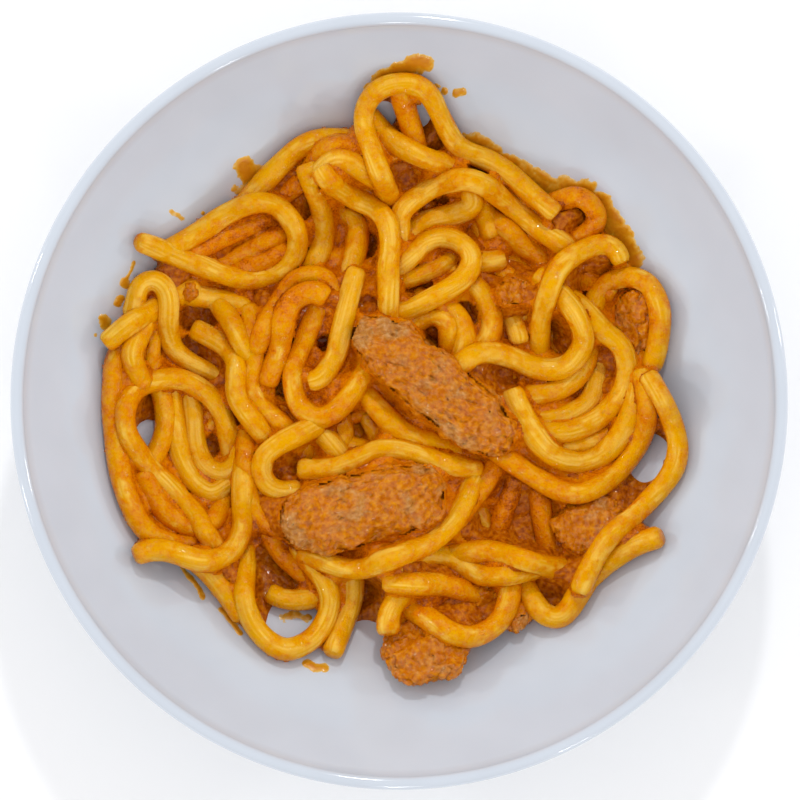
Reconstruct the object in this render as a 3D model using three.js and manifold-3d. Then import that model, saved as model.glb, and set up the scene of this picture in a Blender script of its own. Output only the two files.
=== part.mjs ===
// A round coupe bowl holding a tangled heap of thick noodles with chunks of sausage.
// Millimetres, +Z up. The origin is the middle of the foot, on the surface that the bowl stands on.
// +Y is the far side of the bowl and +X its right side.

import * as THREE from 'three';
import { mergeVertices } from 'three/addons/utils/BufferGeometryUtils.js';
import Module from 'manifold-3d';

const wasm = await Module();
wasm.setup();

// ---------------------------------------------------------------- driving dimensions

const bowl = {
  radius: 110, // outside, at the lip
  height: 52,
  floorHeight: 8, // inside, at the middle
  wall: 4.2,
  flatRadius: 38, // the level middle of the inside
  curve: 2.2, // how the wall steepens towards the lip
  lipRadius: 1.9,
  footRadius: 50,
  footWidth: 5,
  footHeight: 4,
  footEdge: 0.7, // bevel along the foot
  footTaper: 1.2, // how far the foot's inner side leans
  footBlend: 6, // from the foot out to the start of the wall
  segments: 40,
};

const noodle = {
  radius: 3.3,
  sides: 6,
  step: 6.6, // between cross-sections
  contact: 2.6, // radius left where soft noodles press into each other
  stiffness: 40, // rounds of smoothing that let it bridge dips
  sample: 1.5, // between the places where its height is worked out
};

const core = {
  radius: 61,
  top: 21, // height of the tangle's hidden middle above the table
  rounding: 2.6,
  rings: 6,
  segments: 26,
  edge: 0.2, // level rim round the foot of the dome
};

const gap = 0.35; // between pieces that touch
const reliefStep = 1; // grid that records how high the heap has grown

const looks = {
  porcelain: { color: 0xdfe2ea, roughness: 0.15, metalness: 0 },
  noodles: { color: 0xe79a14, roughness: 0.35, metalness: 0 },
  sausage: { color: 0xc9803f, roughness: 0.5, metalness: 0 },
};

// Sausage chunks: middle, size over all, turn about +Z in degrees, and the seed of their lumps.
const sausages = {
  sausage_upper: { x: 11, y: 4, length: 55, width: 19.5, height: 16, turn: -39, seed: 11 },
  sausage_lower: { x: -10.5, y: -31.5, length: 51, width: 23, height: 16, turn: 12, seed: 23 },
  sausage_front: { x: 7.5, y: -72.5, length: 25, width: 18.5, height: 12, turn: 4, seed: 37 },
  sausage_right: { x: 55, y: -35, length: 22, width: 18, height: 12, turn: 48, seed: 41 },
  sausage_loop: { x: 67, y: 22, length: 20, width: 12, height: 9, turn: 82, seed: 53 },
  sausage_crumb: { x: 33.5, y: 32, length: 11, width: 9.5, height: 8, turn: 30, seed: 61 },
  sausage_low: { x: 23.5, y: -57, length: 17, width: 12, height: 9, turn: 5, seed: 71 },
  sausage_end: { x: 34.5, y: -62.5, length: 10, width: 8, height: 7, turn: 62, seed: 83 },
};

// Noodles and sausage chunks in the order that they lie, lowest first.
// A noodle is named and has the few places that it passes, in x and y; its height is worked out below.
const heapOrder = [
  ['outerLeft', [-82.5, -5.5], [-80, -23], [-74, -36.5], [-62.5, -42], [-57.5, -40]],
  ['leftInner', [-75.5, 18], [-77, 12.5], [-72, 2.5]],
  ['topLeftArc', [-46.5, 56.5], [-38.5, 64.5], [-29.5, 73], [-18, 76], [-6, 72.5]],
  ['arcBehind', [-39.5, 51.5], [-31.5, 64.5], [-21.5, 72], [-10, 71]],
  ['underTop', [-6, 79], [2.5, 72.5], [14, 68.5], [19, 66]],
  ['shadedTop', [-15.5, 56.5], [-12, 46.5], [-15.5, 33.5]],
  ['shadedStub', [24.5, 59], [25.5, 53.5], [27.5, 47.5]],
  ['hookInside', [-51, 40], [-42, 45], [-33, 49.5]],
  ['rightBelow', [30.5, 51], [42, 41.5], [44, 36.5], [42, 32]],
  ['saucyLeft', [29, -17.5], [21.5, -28.5], [14, -38.5]],
  ['saucyRight', [41, -25.5], [41.5, -32], [44, -43.5]],
  ['roundEnd', [31.5, 29.5], [33, 24.5], [33.5, 19.5]],
  ['sausage_crumb'],
  ['sausage_loop'],
  ['sausage_right'],
  ['sausage_low'],
  ['sausage_end'],
  ['sausage_front'],
  ['leftStub', [-84.5, 16.5], [-74, 23.5], [-64, 30.5]],
  ['leftArch', [-76.5, 27.5], [-75, 32.5], [-70.5, 34.5], [-67, 32.5], [-66, 22], [-63, 12.5], [-55, 6.5]],
  ['midLeft', [-64, 33], [-58, 31], [-47, 28.5], [-42.5, 20.5]],
  ['secondWavy', [-44, 23], [-42.5, 10.5], [-41, -0.5], [-32, -8.5]],
  ['wavyLeft', [-60.5, 21.5], [-50.5, 16], [-47.5, 11.5], [-47, 1], [-38, -12]],
  ['innerRing', [-62, 4], [-59, -14.5], [-56, -19.5], [-51.5, -21], [-46, -14]],
  ['innerRingOuter', [-65.5, -7], [-62.5, -19.5], [-54.5, -27.5], [-48, -21.5]],
  ['leftRing', [-49.5, -14.5], [-54, 0], [-64.5, 6.5], [-75.5, 4], [-78.5, -8], [-72, -20], [-55.5, -39]],
  ['diagonal', [-45, -32], [-39.5, -41.5], [-30.5, -48.5]],
  ['longLeft', [-45, -32], [-45, -52], [-42, -65], [-33, -72], [-24, -68], [-20, -57.5], [-28, -44.5]],
  ['shortShelf', [-34, -50.5], [-38, -53], [-38, -57], [-22.5, -56]],
  ['tail', [-77, -45], [-67, -43], [-57, -46], [-48, -42.5], [-45.5, -31]],
  ['leftHook', [-76.5, 45], [-57.5, 39.5], [-45, 35.5], [-33.5, 38.5], [-29.5, 48.5], [-36, 57],
    [-46.5, 56], [-62.5, 46.5]],
  ['topStub', [-27, 68.5], [-22, 51], [-25, 39.5]],
  ['curlOuter', [20.5, 62], [21.5, 57.5], [17.5, 55], [7.5, 52.5], [1.5, 44.5], [2.5, 40]],
  ['rightOfMiddle', [18, 36], [25.5, 28.5], [27, 23], [22, 14]],
  ['innerMiddle', [10, 29], [18, 23], [18, 13.5]],
  ['stubRight', [20.5, 41], [26, 40.5], [31, 41.5]],
  ['curlInner', [5, 40], [10, 47], [18.5, 45.5], [20, 37.5], [7, 28.5], [-2, 25.5]],
  ['topLoop', [-1, 55.5], [-8, 72.5], [-10, 83.5], [-4.5, 90], [5, 90.5], [11.5, 83], [17, 74],
    [31.5, 66.5], [44, 55.5]],
  ['rightRing', [43, 61.5], [53, 59.5], [56, 52], [48.5, 46]],
  ['bigArch', [0, 50], [8.5, 61.5], [19.5, 64], [29, 59.5], [38, 52.5], [47.5, 45.5]],
  ['topElbow', [-10, 71], [-16, 69.5], [-19, 66], [-6.5, 55.5], [-2.5, 45.5], [-3, 27.5]],
  ['stubInner', [58, 10], [55.5, 0], [46, -5]],
  ['nestInner', [66.5, 4.5], [59.5, -4.5], [43, -9]],
  ['nestOuter', [66.5, -3.5], [60.5, -10], [43.5, -12.5]],
  ['parallel', [55, 19], [53, 9], [37, 1.5]],
  ['rightHook', [64.5, 40], [62.5, 44], [59, 45.5], [46, 38], [41, 22], [40.5, 16]],
  ['rightLoop', [55, 22.5], [57.5, 31], [67.5, 36], [74.5, 29.5], [75, 18], [74, 12.5]],
  ['rightS', [48, 31], [63.5, 17], [65.5, 7], [59, -2]],
  ['smile', [20, 12.5], [29.5, 13.5], [44, 9], [52, 13.5], [53.5, 18], [47, 30.5]],
  ['centreRight', [32.5, 3.5], [39.5, -10.5], [47.5, -17], [58, -16.5], [66, -7], [68.5, 1]],
  ['lowerRight', [30, -16], [45.5, -25.5], [57.5, -25], [67, -16.5], [71.5, -3]],
  ['rightEnd', [75.5, -39], [66.5, -42.5], [58, -49]],
  ['outerRight', [71.5, 6.5], [77, -2], [80.5, -13.5], [76.5, -24], [59, -41.5], [51.5, -55]],
  ['bottomStub', [-14, -47.5], [-14, -59], [-19.5, -73.5]],
  ['alongSausage', [-9, 1], [0.5, -8.5], [18.5, -15]],
  ['hookMiddle', [-25, -10.5], [-35, -12.5], [-40, -20.5], [-34, -26.5], [-28.5, -26]],
  ['aboveSausage', [-29.5, -19.5], [-17, -19], [-6, -14], [6, -15.5], [18, -19]],
  ['middleArch', [-35.5, 14], [-34.5, 27], [-27.5, 36.5], [-20, 32.5], [-19, 27.5]],
  ['middleBend', [-32.5, 16], [-27.5, -2], [-23.5, -5], [-15, 0.5], [-9.5, 9]],
  ['jCurve', [-12, 38.5], [-17, 19], [-21.5, 8.5], [-25, 6], [-27.5, 9]],
  ['lowLoop', [-3, -67], [-1, -59.5], [3, -60], [11, -64.5], [20.5, -68], [29.5, -63], [32.5, -54]],
  ['smallHook', [36.5, -53.5], [42.5, -62], [46.5, -62.5], [48, -54]],
  ['belowSausage', [-23.5, -46], [-10.5, -48.5], [2.5, -43.5], [14.5, -36.5]],
  ['shortBar', [-4.5, -52], [18.5, -55]],
  ['lowWave', [-0.5, -47.5], [9.5, -44.5], [24, -50.5], [35, -49.5]],
  ['topWave', [20, -44], [31.5, -44.5], [48.5, -49]],
  ['sausage_upper'],
  ['sausage_lower'],
];

// ---------------------------------------------------------------- helpers

// The same stream of numbers from 0 to 1 for the same seed.
function seededDraws(seed) {
  let state = seed;
  return () => {
    state = (state + 0x6d2b79f5) | 0;
    let mixed = Math.imul(state ^ (state >>> 15), 1 | state);
    mixed = (mixed + Math.imul(mixed ^ (mixed >>> 7), 61 | mixed)) ^ mixed;
    return ((mixed ^ (mixed >>> 14)) >>> 0) / 4294967296;
  };
}

function solidFrom(geometry) {
  const bare = geometry.clone();
  bare.deleteAttribute('normal');
  bare.deleteAttribute('uv');
  const merged = mergeVertices(bare, 1e-4);
  return new wasm.Manifold(
    new wasm.Mesh({
      numProp: 3,
      vertProperties: new Float32Array(merged.attributes.position.array),
      triVerts: new Uint32Array(merged.index.array),
    }),
  );
}

function geometryFrom(solid) {
  const { vertProperties, triVerts } = solid.getMesh();
  const geometry = new THREE.BufferGeometry();
  geometry.setAttribute('position', new THREE.BufferAttribute(vertProperties, 3));
  geometry.setIndex(new THREE.BufferAttribute(triVerts, 1));
  geometry.computeVertexNormals();
  return geometry;
}

function largestPiece(solid) {
  const pieces = solid.decompose();
  return pieces.reduce((best, piece) => (piece.volume() > best.volume() ? piece : best));
}

function namedMesh(name, geometry, look) {
  const mesh = new THREE.Mesh(geometry, new THREE.MeshStandardMaterial(look));
  mesh.name = name;
  return mesh;
}

// ---------------------------------------------------------------- bowl

const innerLipRadius = bowl.radius - 2 * bowl.lipRadius;
const innerLipHeight = bowl.height - bowl.lipRadius;

// Height of the bowl's inside at a distance from its axis.
function insideHeight(distance) {
  const along = Math.max(0, distance - bowl.flatRadius) / (innerLipRadius - bowl.flatRadius);
  return bowl.floorHeight + (innerLipHeight - bowl.floorHeight) * along ** bowl.curve;
}

function insideSlope(distance) {
  const small = 0.01;
  return (insideHeight(distance + small) - insideHeight(distance - small)) / (2 * small);
}

function bowlGeometry() {
  const { footRadius, footWidth, footHeight, footEdge, footTaper, footBlend } = bowl;
  const recess = bowl.floorHeight - bowl.wall;
  const footInner = footRadius - footWidth;
  const profile = [
    [0, recess],
    [footInner - footTaper, recess],
    [footInner, footEdge],
    [footInner + footEdge, 0],
    [footRadius - footEdge, 0],
    [footRadius, footEdge],
    [footRadius + footTaper, footHeight],
  ];
  const wallStart = footRadius + footBlend;
  const outsideSteps = 6;
  for (let i = 1; i <= outsideSteps; i += 1) {
    const distance = wallStart + ((innerLipRadius - wallStart) * i) / outsideSteps;
    const slope = insideSlope(distance);
    const length = Math.hypot(1, slope);
    const thickness = i === outsideSteps ? 2 * bowl.lipRadius : bowl.wall;
    profile.push([
      distance + (thickness * slope) / length,
      insideHeight(distance) - thickness / length,
    ]);
  }
  const lipSteps = 4;
  for (let i = 0; i <= lipSteps; i += 1) {
    const angle = (Math.PI * i) / lipSteps;
    profile.push([
      bowl.radius - bowl.lipRadius * (1 - Math.cos(angle)),
      innerLipHeight + bowl.lipRadius * Math.sin(angle),
    ]);
  }
  const insideSteps = 7;
  for (let i = insideSteps - 1; i >= 0; i -= 1) {
    const distance = bowl.flatRadius + ((innerLipRadius - bowl.flatRadius) * i) / insideSteps;
    profile.push([distance, insideHeight(distance)]);
  }
  profile.push([0, bowl.floorHeight]);
  return new THREE.LatheGeometry(profile.map(([x, y]) => new THREE.Vector2(x, y)), bowl.segments)
    .rotateX(Math.PI / 2);
}

// ---------------------------------------------------------------- relief: how high the heap has grown

const reliefHalf = bowl.radius;
const reliefSide = Math.round((2 * reliefHalf) / reliefStep) + 1;
const relief = new Float32Array(reliefSide * reliefSide);

function cellsAround(x, y, reach, visit) {
  const firstColumn = Math.max(0, Math.ceil((x - reach + reliefHalf) / reliefStep));
  const lastColumn = Math.min(reliefSide - 1, Math.floor((x + reach + reliefHalf) / reliefStep));
  const firstRow = Math.max(0, Math.ceil((y - reach + reliefHalf) / reliefStep));
  const lastRow = Math.min(reliefSide - 1, Math.floor((y + reach + reliefHalf) / reliefStep));
  for (let row = firstRow; row <= lastRow; row += 1) {
    for (let column = firstColumn; column <= lastColumn; column += 1) {
      const dx = column * reliefStep - reliefHalf - x;
      const dy = row * reliefStep - reliefHalf - y;
      visit(row * reliefSide + column, dx, dy);
    }
  }
}

// Top of the tangle's hidden middle: a low dome that ends on the bowl's inside.
function coreHeight(distance) {
  const share = Math.min(distance / core.radius, 1);
  const edge = insideHeight(core.radius) + gap + core.edge;
  return edge + (core.top - edge) * (1 - share ** core.rounding);
}

function startRelief() {
  cellsAround(0, 0, reliefHalf, (cell, dx, dy) => {
    const distance = Math.hypot(dx, dy);
    const inside = insideHeight(distance) + gap;
    relief[cell] = distance < core.radius ? Math.max(inside, coreHeight(distance)) : inside;
  });
}

// ---------------------------------------------------------------- core of the heap

function coreGeometry() {
  const profile = [[0, bowl.floorHeight + gap]];
  for (let i = 1; i <= core.rings; i += 1) {
    const distance = (core.radius * i) / core.rings;
    if (distance > bowl.flatRadius) profile.push([distance, insideHeight(distance) + gap]);
  }
  for (let i = core.rings; i > 0; i -= 1) {
    const distance = (core.radius * i) / core.rings;
    profile.push([distance - core.edge, coreHeight(distance)]);
  }
  profile.push([0, core.top]);
  return new THREE.LatheGeometry(profile.map(([x, y]) => new THREE.Vector2(x, y)), core.segments)
    .rotateX(Math.PI / 2);
}

// ---------------------------------------------------------------- noodles

// Height of a noodle's middle where it rests on the relief below it.
function restingHeight(x, y) {
  const reach = noodle.contact;
  let height = -Infinity;
  cellsAround(x, y, reach, (cell, dx, dy) => {
    const rest = reach * reach - dx * dx - dy * dy;
    if (rest > 0) height = Math.max(height, relief[cell] + Math.sqrt(rest));
  });
  return height;
}

// The route in space: laid on what is below, pressed in a little, and bridging the dips.
function layRoute(places) {
  const flat = new THREE.CatmullRomCurve3(
    places.map(([x, y]) => new THREE.Vector3(x, y, 0)),
    false,
    'centripetal',
  );
  const count = Math.round(flat.getLength() / noodle.sample);
  const points = flat.getSpacedPoints(count);
  const lowest = points.map(({ x, y }) => Math.max(restingHeight(x, y), bowlClearance(x, y)));
  let heights = lowest;
  for (let round = 0; round < noodle.stiffness; round += 1) {
    heights = heights.map((height, i) => {
      const before = heights[Math.max(0, i - 1)];
      const after = heights[Math.min(count, i + 1)];
      return Math.max(lowest[i], (before + 2 * height + after) / 4);
    });
  }
  points.forEach((point, i) => point.setZ(heights[i]));
  return points;
}

// Lowest height at which a round noodle clears the bowl's sloping inside.
function bowlClearance(x, y) {
  const distance = Math.hypot(x, y);
  return insideHeight(distance) + (noodle.radius + gap) * Math.hypot(1, insideSlope(distance));
}

function raiseRelief(points) {
  const reach = noodle.contact;
  points.forEach((point) => {
    cellsAround(point.x, point.y, reach, (cell, dx, dy) => {
      const rest = reach * reach - dx * dx - dy * dy;
      if (rest > 0) relief[cell] = Math.max(relief[cell], point.z + Math.sqrt(rest));
    });
  });
}

function noodleGeometry(points) {
  const route = new THREE.CatmullRomCurve3(points, false, 'centripetal');
  const section = new THREE.Shape();
  for (let i = 0; i < noodle.sides; i += 1) {
    const angle = (2 * Math.PI * i) / noodle.sides;
    const x = noodle.radius * Math.cos(angle);
    const y = noodle.radius * Math.sin(angle);
    if (i === 0) section.moveTo(x, y);
    else section.lineTo(x, y);
  }
  return new THREE.ExtrudeGeometry(section, {
    steps: Math.max(2, Math.round(route.getLength() / noodle.step)),
    extrudePath: route,
    bevelEnabled: false,
  });
}

// ---------------------------------------------------------------- sausage chunks

const chunk = {
  longEnough: 24, // a chunk longer than this takes the finer mesh
  fine: { around: 16, along: 10 },
  coarse: { around: 12, along: 8 },
  squareness: 0.72, // under 1 makes a boxier lump
  outline: 2.6, // power of the rounded oblong that stands for it while it is laid
  lumps: 9,
  lump: 0.09, // share of its size that the lumps stand out
  steepest: 0.5, // slope that it leans at most
  settled: 0.86, // share of what is under it that it stays above
};

// Distance from the middle of a lump to its skin in a direction, as a share of a half size.
function lumpScale(direction, bumps) {
  return bumps.reduce(
    (scale, bump) => scale + bump.size * Math.exp(-direction.distanceToSquared(bump.at) / bump.spread),
    1 - chunk.lump / 2,
  );
}

function chunkBumps(seed) {
  const draw = seededDraws(seed);
  const between = (low, high) => low + (high - low) * draw();
  return Array.from({ length: chunk.lumps }, () => {
    const at = new THREE.Vector3(between(-1, 1), between(-1, 1), between(-1, 1)).normalize();
    return { at, size: chunk.lump * between(-0.6, 1.4), spread: between(0.18, 0.48) };
  });
}

function chunkGeometry(piece, grow) {
  const { around, along } = piece.length > chunk.longEnough ? chunk.fine : chunk.coarse;
  const geometry = new THREE.SphereGeometry(1, around, along);
  const bumps = chunkBumps(piece.seed);
  const position = geometry.attributes.position;
  const direction = new THREE.Vector3();
  const boxy = (value) => Math.sign(value) * Math.abs(value) ** chunk.squareness;
  for (let i = 0; i < position.count; i += 1) {
    direction.fromBufferAttribute(position, i);
    const scale = lumpScale(direction, bumps);
    position.setXYZ(
      i,
      boxy(direction.y) * scale * (piece.length / 2 + grow),
      boxy(direction.x) * scale * (piece.width / 2 + grow),
      -boxy(direction.z) * scale * (piece.height / 2 + grow),
    );
  }
  return geometry.rotateZ(THREE.MathUtils.degToRad(piece.turn));
}

// The slope of the heap under a piece, as a plane fitted to the relief inside its outline.
function fitSlope(piece) {
  const sums = { n: 0, x: 0, y: 0, z: 0, xx: 0, yy: 0, xy: 0, xz: 0, yz: 0 };
  cellsInside(piece, (cell, dx, dy) => {
    const z = relief[cell];
    sums.n += 1;
    sums.x += dx;
    sums.y += dy;
    sums.z += z;
    sums.xx += dx * dx;
    sums.yy += dy * dy;
    sums.xy += dx * dy;
    sums.xz += dx * z;
    sums.yz += dy * z;
  });
  const xx = sums.xx - (sums.x * sums.x) / sums.n;
  const yy = sums.yy - (sums.y * sums.y) / sums.n;
  const xy = sums.xy - (sums.x * sums.y) / sums.n;
  const xz = sums.xz - (sums.x * sums.z) / sums.n;
  const yz = sums.yz - (sums.y * sums.z) / sums.n;
  const determinant = xx * yy - xy * xy;
  const limit = (value) => THREE.MathUtils.clamp(value, -chunk.steepest, chunk.steepest);
  return {
    x: limit((xz * yy - yz * xy) / determinant),
    y: limit((yz * xx - xz * xy) / determinant),
  };
}

// Visits the relief under a piece, with how deep the piece reaches there below its middle.
function cellsInside(piece, visit) {
  const turn = THREE.MathUtils.degToRad(piece.turn);
  const reach = Math.max(piece.length, piece.width) / 2;
  cellsAround(piece.x, piece.y, reach, (cell, dx, dy) => {
    const along = (dx * Math.cos(turn) + dy * Math.sin(turn)) / (piece.length / 2);
    const across = (dy * Math.cos(turn) - dx * Math.sin(turn)) / (piece.width / 2);
    const share = Math.abs(along) ** chunk.outline + Math.abs(across) ** chunk.outline;
    if (share < 1) visit(cell, dx, dy, (piece.height / 2) * (1 - share) ** (1 / chunk.outline));
  });
}

// Middle height and slope of a piece laid on the relief, which it then raises.
function layChunk(piece) {
  const slope = fitSlope(piece);
  const rests = [];
  cellsInside(piece, (cell, dx, dy, depth) => {
    rests.push(relief[cell] + depth - slope.x * dx - slope.y * dy);
  });
  rests.sort((a, b) => a - b);
  const height = rests[Math.floor(rests.length * chunk.settled)];
  cellsInside(piece, (cell, dx, dy, depth) => {
    const top = height + depth + slope.x * dx + slope.y * dy;
    relief[cell] = Math.max(relief[cell], top);
  });
  return { height, slope };
}

function placedChunk(piece, place, grow) {
  const geometry = chunkGeometry(piece, grow);
  const lean = new THREE.Matrix4().set(
    1, 0, 0, piece.x,
    0, 1, 0, piece.y,
    place.slope.x, place.slope.y, 1, place.height,
    0, 0, 0, 1,
  );
  return geometry.applyMatrix4(lean);
}

// ---------------------------------------------------------------- the whole dish

function buildDish() {
  const dish = new THREE.Group();
  dish.add(namedMesh('bowl', bowlGeometry(), looks.porcelain));
  startRelief();
  let heap = solidFrom(coreGeometry());
  const chunks = [];
  heapOrder.forEach(([name, ...places]) => {
    if (sausages[name]) {
      chunks.push({ name, piece: sausages[name], place: layChunk(sausages[name]) });
      return;
    }
    const points = layRoute(places);
    raiseRelief(points);
    heap = heap.add(solidFrom(noodleGeometry(points)));
  });
  chunks.forEach(({ piece, place }) => {
    heap = heap.subtract(solidFrom(placedChunk(piece, place, gap)));
  });
  dish.add(namedMesh('pasta', geometryFrom(largestPiece(heap)), looks.noodles));
  chunks.forEach(({ name, piece, place }) => {
    dish.add(namedMesh(name, placedChunk(piece, place, 0), looks.sausage));
  });
  return dish;
}

const group = buildDish();

export default group;
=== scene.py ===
import math
import random

import bmesh
import bpy
import numpy as np
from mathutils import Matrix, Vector, noise
from mathutils.bvhtree import BVHTree


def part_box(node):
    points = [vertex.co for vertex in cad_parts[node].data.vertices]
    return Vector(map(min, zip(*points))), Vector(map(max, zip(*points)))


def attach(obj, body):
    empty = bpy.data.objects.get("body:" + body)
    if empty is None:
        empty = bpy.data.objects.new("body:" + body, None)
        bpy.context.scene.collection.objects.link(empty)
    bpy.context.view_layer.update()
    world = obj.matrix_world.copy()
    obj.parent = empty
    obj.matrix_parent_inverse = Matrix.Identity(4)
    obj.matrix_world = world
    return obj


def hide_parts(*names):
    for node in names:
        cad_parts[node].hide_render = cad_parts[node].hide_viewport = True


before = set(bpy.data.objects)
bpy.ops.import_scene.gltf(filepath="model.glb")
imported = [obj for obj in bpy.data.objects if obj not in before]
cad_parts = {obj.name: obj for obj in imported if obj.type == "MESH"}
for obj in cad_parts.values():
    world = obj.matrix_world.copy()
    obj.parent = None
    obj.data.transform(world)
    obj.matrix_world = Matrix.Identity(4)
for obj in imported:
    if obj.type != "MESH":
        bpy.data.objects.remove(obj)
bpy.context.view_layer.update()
print("frame loaded:", len(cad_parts), "solids")

mm = 0.001
noise.seed_set(7)  # without it noise_vector, which bends the sausage's cracks, starts from the clock


# the sRGB curve turned back to linear light
def toLinear(hexColour):
    channels = [int(hexColour[i:i + 2], 16) / 255 for i in (1, 3, 5)]
    return [c / 12.92 if c <= 0.04045 else ((c + 0.055) / 1.055) ** 2.4 for c in channels] + [1.0]


# a node with its settings; stops are a colour ramp's, and links go from an output to an input
def addNode(tree, kind, settings=None, inputs=None, links=None, stops=None):
    node = tree.nodes.new(kind)
    for name, value in (settings or {}).items():
        setattr(node, name, value)
    for name, value in (inputs or {}).items():
        node.inputs[name].default_value = value
    for name, output in (links or {}).items():
        tree.links.new(output, node.inputs[name])
    for i, (place, colour) in enumerate(stops or []):
        element = node.color_ramp.elements[i] if i < 2 else node.color_ramp.elements.new(place)
        element.position = place
        element.color = toLinear(colour) if isinstance(colour, str) else [colour, colour, colour, 1]
    return node


def startMaterial(name):
    material = bpy.data.materials.new(name)
    material.use_nodes = True
    material.node_tree.nodes.clear()
    return material, material.node_tree


def addObject(name, data):
    item = bpy.data.objects.new(name, data)
    bpy.context.scene.collection.objects.link(item)
    return item


def meshPiece(name, vertices, faces, material, sharpFrom=None):
    mesh = bpy.data.meshes.new(name)
    mesh.from_pydata([tuple(v) for v in vertices], [], [tuple(f) for f in faces])
    mesh.validate()
    mesh.shade_smooth()
    if sharpFrom:
        mesh.set_sharp_from_angle(angle=math.radians(sharpFrom))
    mesh.materials.append(material)
    return addObject(name, mesh)


# one number or one vector for each vertex
def addAttribute(piece, name, values):
    values = np.asarray(values, np.float32)
    kind, key = ("FLOAT", "value") if values.ndim == 1 else ("FLOAT_VECTOR", "vector")
    attribute = piece.data.attributes.new(name, kind, "POINT")
    attribute.data.foreach_set(key, values.ravel())


# a value made larger or smaller, with noises added, each about its own middle, and kept from 0 to 1
def withNoises(tree, value, factor, offset, noises):
    middle = sum(share for fac, share in noises) / 2
    total = addNode(tree, "ShaderNodeMath", {"operation": "MULTIPLY_ADD"},
                    inputs={1: factor, 2: offset - middle}, links={0: value})
    for fac, share in noises:
        total = addNode(tree, "ShaderNodeMath", {"operation": "MULTIPLY_ADD"}, inputs={1: share},
                        links={0: fac, 2: total.outputs["Value"]})
    total.use_clamp = True
    return total.outputs["Value"]


# glazed porcelain, cast and fired: cool white under a clear, nearly flat glaze
def glazedPorcelain():
    material, tree = startMaterial("glazedPorcelain")
    place = addNode(tree, "ShaderNodeNewGeometry")
    waves = addNode(tree, "ShaderNodeTexNoise", inputs={"Scale": 1 / (14 * mm), "Detail": 1.0},
                    links={"Vector": place.outputs["Position"]})
    tint = addNode(tree, "ShaderNodeValToRGB", stops=[(0.3, "#c6cdd6"), (0.7, "#c9d0d9")],
                   links={"Fac": waves.outputs["Fac"]})
    ripple = addNode(tree, "ShaderNodeBump", inputs={"Strength": 0.25, "Distance": 0.12 * mm},
                     links={"Height": waves.outputs["Fac"]})
    shader = addNode(tree, "ShaderNodeBsdfPrincipled", inputs={"Roughness": 0.09, "IOR": 1.52},
                     links={"Base Color": tint.outputs["Color"], "Normal": ripple.outputs["Normal"]})
    addNode(tree, "ShaderNodeOutputMaterial", links={"Surface": shader.outputs["BSDF"]})
    return material


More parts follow.
